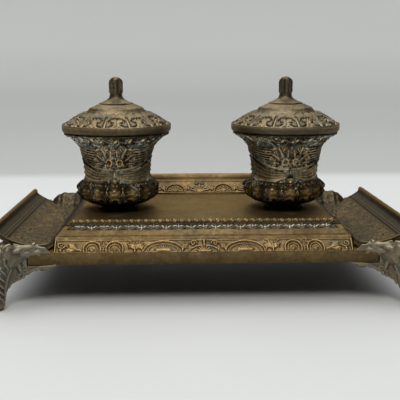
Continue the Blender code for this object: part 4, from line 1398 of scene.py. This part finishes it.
def make_backdrop():
    """A pale table that curves up behind the object, with painted light and shade graded over it."""
    rows = [(-5000, 0), (1000, 0), (1300, 30), (1600, 110), (2200, 380), (3000, 900), (5000, 2600)]
    line, _, _ = resampled(rows, 40)
    x = np.linspace(-6000, 6000, 3)
    grid = np.stack(np.broadcast_arrays(x[None, :], line[:, :1], line[:, 1:]), -1)
    verts = (grid * MM).reshape(-1, 3)
    floor = new_mesh("sweep", verts.tolist(), grid_faces(len(line), 3, False))
    n = Nodes("paper")
    split = n.add("ShaderNodeSeparateXYZ")
    n.feed(split.inputs["Vector"], n.place)
    away, up = split.outputs["Y"], split.outputs["Z"]
    # painted light: darker near the front and lighter further back, a grey band from 0.385 m back painted as
    # the wall's shade, and lighter again where the sweep rises, to make up for the light it loses
    near = n.mix(n.span(away, -0.1, 0.3), (0.66, 0.66, 0.645), (0.79, 0.79, 0.775))
    table = n.mix(n.span(away, 0.385, 0.45), near, (0.57, 0.57, 0.545))
    wall = n.mix(n.span(up, 0.0, 0.2), table, (0.79, 0.785, 0.755))
    cloud = n.times(n.minus(n.noise(1.5, 2, 0.5), 0.5), 0.04)
    n.shade("Base Color", n.mix(cloud, wall, (1.0, 1.0, 1.0), "ADD"))
    n.shade("Roughness", 0.85)
    n.shade("Specular IOR Level", 0.1)
    floor.data.materials.append(n.material)


def vector_node(tree, operation, value=None):
    node = tree.nodes.new("ShaderNodeVectorMath")
    node.operation = operation
    if value:
        node.inputs[1].default_value = value
    return node


def make_light():
    """A sky that is brightest overhead and a little to the rear, and two small soft lamps."""
    world = bpy.data.worlds.new("room")
    bpy.context.scene.world = world
    world.use_nodes = True
    tree = world.node_tree
    place = tree.nodes.new("ShaderNodeTexCoord")
    squeeze = vector_node(tree, "MULTIPLY", SKY_SQUEEZE)
    unit = vector_node(tree, "NORMALIZE")
    tilt = vector_node(tree, "DOT_PRODUCT", SKY_TOP)
    sky = tree.nodes.new("ShaderNodeMapRange")
    sky.interpolation_type = "SMOOTHSTEP"
    for key, value in (("From Min", 0.5), ("From Max", 1.0), ("To Min", SKY_LOW), ("To Max", SKY_HIGH)):
        sky.inputs[key].default_value = value
    background = tree.nodes["Background"]
    background.inputs["Color"].default_value = (0.955, 0.98, 1.0, 1.0)
    tree.links.new(place.outputs["Generated"], squeeze.inputs[0])
    tree.links.new(squeeze.outputs["Vector"], unit.inputs[0])
    tree.links.new(unit.outputs["Vector"], tilt.inputs[0])
    tree.links.new(tilt.outputs["Value"], sky.inputs["Value"])
    tree.links.new(sky.outputs["Result"], background.inputs["Strength"])
    area_light("front", (-0.04, -0.55, 0.8), (0.0, 0.0, 0.03), 3.1, (1.0, 0.985, 0.96))
    area_light("window", (-0.4, -0.1, 0.88), (0.0, 0.0, 0.07), 0.6, (0.96, 0.98, 1.0))


def area_light(name, place, target, power, colour):
    data = bpy.data.lights.new(name, "AREA")
    data.shape = "DISK"
    data.size = LAMP_SIZE
    data.energy = power
    data.color = colour
    lamp = new_object(name, data)
    lamp.location = place
    lamp.rotation_euler = (Vector(target) - Vector(place)).to_track_quat("-Z", "Y").to_euler()


def make_camera():
    data = bpy.data.cameras.new("camera")
    data.lens = 63.0
    data.sensor_width = 36.0
    data.clip_start = 0.01
    camera = new_object("camera", data)
    camera.location = (-0.0132, -0.4501, 0.1387)
    camera.rotation_euler = (math.radians(78.87), math.radians(0.12), math.radians(-1.6))
    bpy.context.scene.camera = camera
    bpy.context.scene.view_settings.view_transform = "Standard"


# --- the object ----------------------------------------------------------------------------------

TRAY_BRASS = patina(
    "tray_patina", (0.052, 0.036, 0.016), (0.162, 0.110, 0.044), (0.235, 0.162, 0.068), (0.33, 0.235, 0.11),
    edge=(0.62, 0.56, 0.5), relief=False,
)
CUP_BRASS = patina(
    "cup_patina", (0.014, 0.014, 0.012), (0.102, 0.083, 0.051), (0.36, 0.275, 0.15), (0.74, 0.61, 0.40),
    crust=(0.48, 0.51, 0.45), green=(0.12, 0.155, 0.135), crusted=0.52, greened=0.55,
)
BOWL_BRASS = patina(
    "bowl_patina", (0.010, 0.009, 0.007), (0.105, 0.073, 0.031), (0.26, 0.185, 0.08), (0.62, 0.48, 0.25),
    crust=(0.38, 0.41, 0.36), green=(0.09, 0.115, 0.10), crusted=0.4, greened=0.4, rough=0.36,
)
LID_BRASS = patina(
    "lid_patina", (0.082, 0.072, 0.052), (0.165, 0.132, 0.080), (0.27, 0.212, 0.124), (0.44, 0.355, 0.21),
    crust=(0.33, 0.34, 0.29), green=(0.10, 0.12, 0.10), crusted=0.45, greened=0.35,
)
FRONT_BRASS = patina(
    "front_patina", (0.052, 0.040, 0.026), (0.142, 0.098, 0.046), (0.28, 0.19, 0.084), (0.47, 0.345, 0.17),
    crust=(0.28, 0.28, 0.24), green=(0.09, 0.105, 0.085), crusted=0.3, greened=0.4,
)
# pale residue, and painted light: the channel's colours are raised to make up for the shade in it
CHANNEL_BRASS_PAINTED_LIGHT = patina(
    "channel_patina_painted_light", (0.12, 0.10, 0.066), (0.33, 0.29, 0.2), (0.44, 0.43, 0.36), (0.72, 0.71, 0.63),
    crust=(0.40, 0.41, 0.38), green=(0.08, 0.10, 0.085), crusted=0.3, greened=0.3,
)
WING_BRASS = patina(
    "wing_patina", (0.036, 0.029, 0.019), (0.078, 0.061, 0.036), (0.110, 0.086, 0.049), (0.150, 0.118, 0.07),
    green=(0.07, 0.074, 0.055), crusted=0.0, greened=0.15, edge=(0.58, 0.56, 0.54),
)
LEG_BRASS = patina(
    "leg_patina", (0.085, 0.08, 0.062), (0.23, 0.198, 0.142), (0.30, 0.252, 0.172), (0.35, 0.29, 0.195),
    crust=(0.38, 0.42, 0.39), green=(0.12, 0.15, 0.13), crusted=0.5, greened=0.45, rough=0.58,
)
GLAZE = porcelain("glaze")
STEEL = steel("dark_steel")

for side in SIDES:
    make_body(side, CUP_BRASS)
    make_bowl(side, BOWL_BRASS)
    make_lid(side, LID_BRASS)
    make_finial(side, LID_BRASS)
    make_pot(side, GLAZE)

make_fascia(FRONT_BRASS)
make_strips(FRONT_BRASS)
make_channel(CHANNEL_BRASS_PAINTED_LIGHT, FRONT_BRASS)
make_gallery(FRONT_BRASS)
make_wings(WING_BRASS)
make_legs(LEG_BRASS)

# CAD nodes without a visual piece of their own are shown as they are.
for name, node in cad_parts.items():
    if node.hide_render:
        continue
    node.data.materials.clear()
    node.data.materials.append(TRAY_BRASS if name == "tray" else STEEL)

make_backdrop()
make_light()
make_camera()
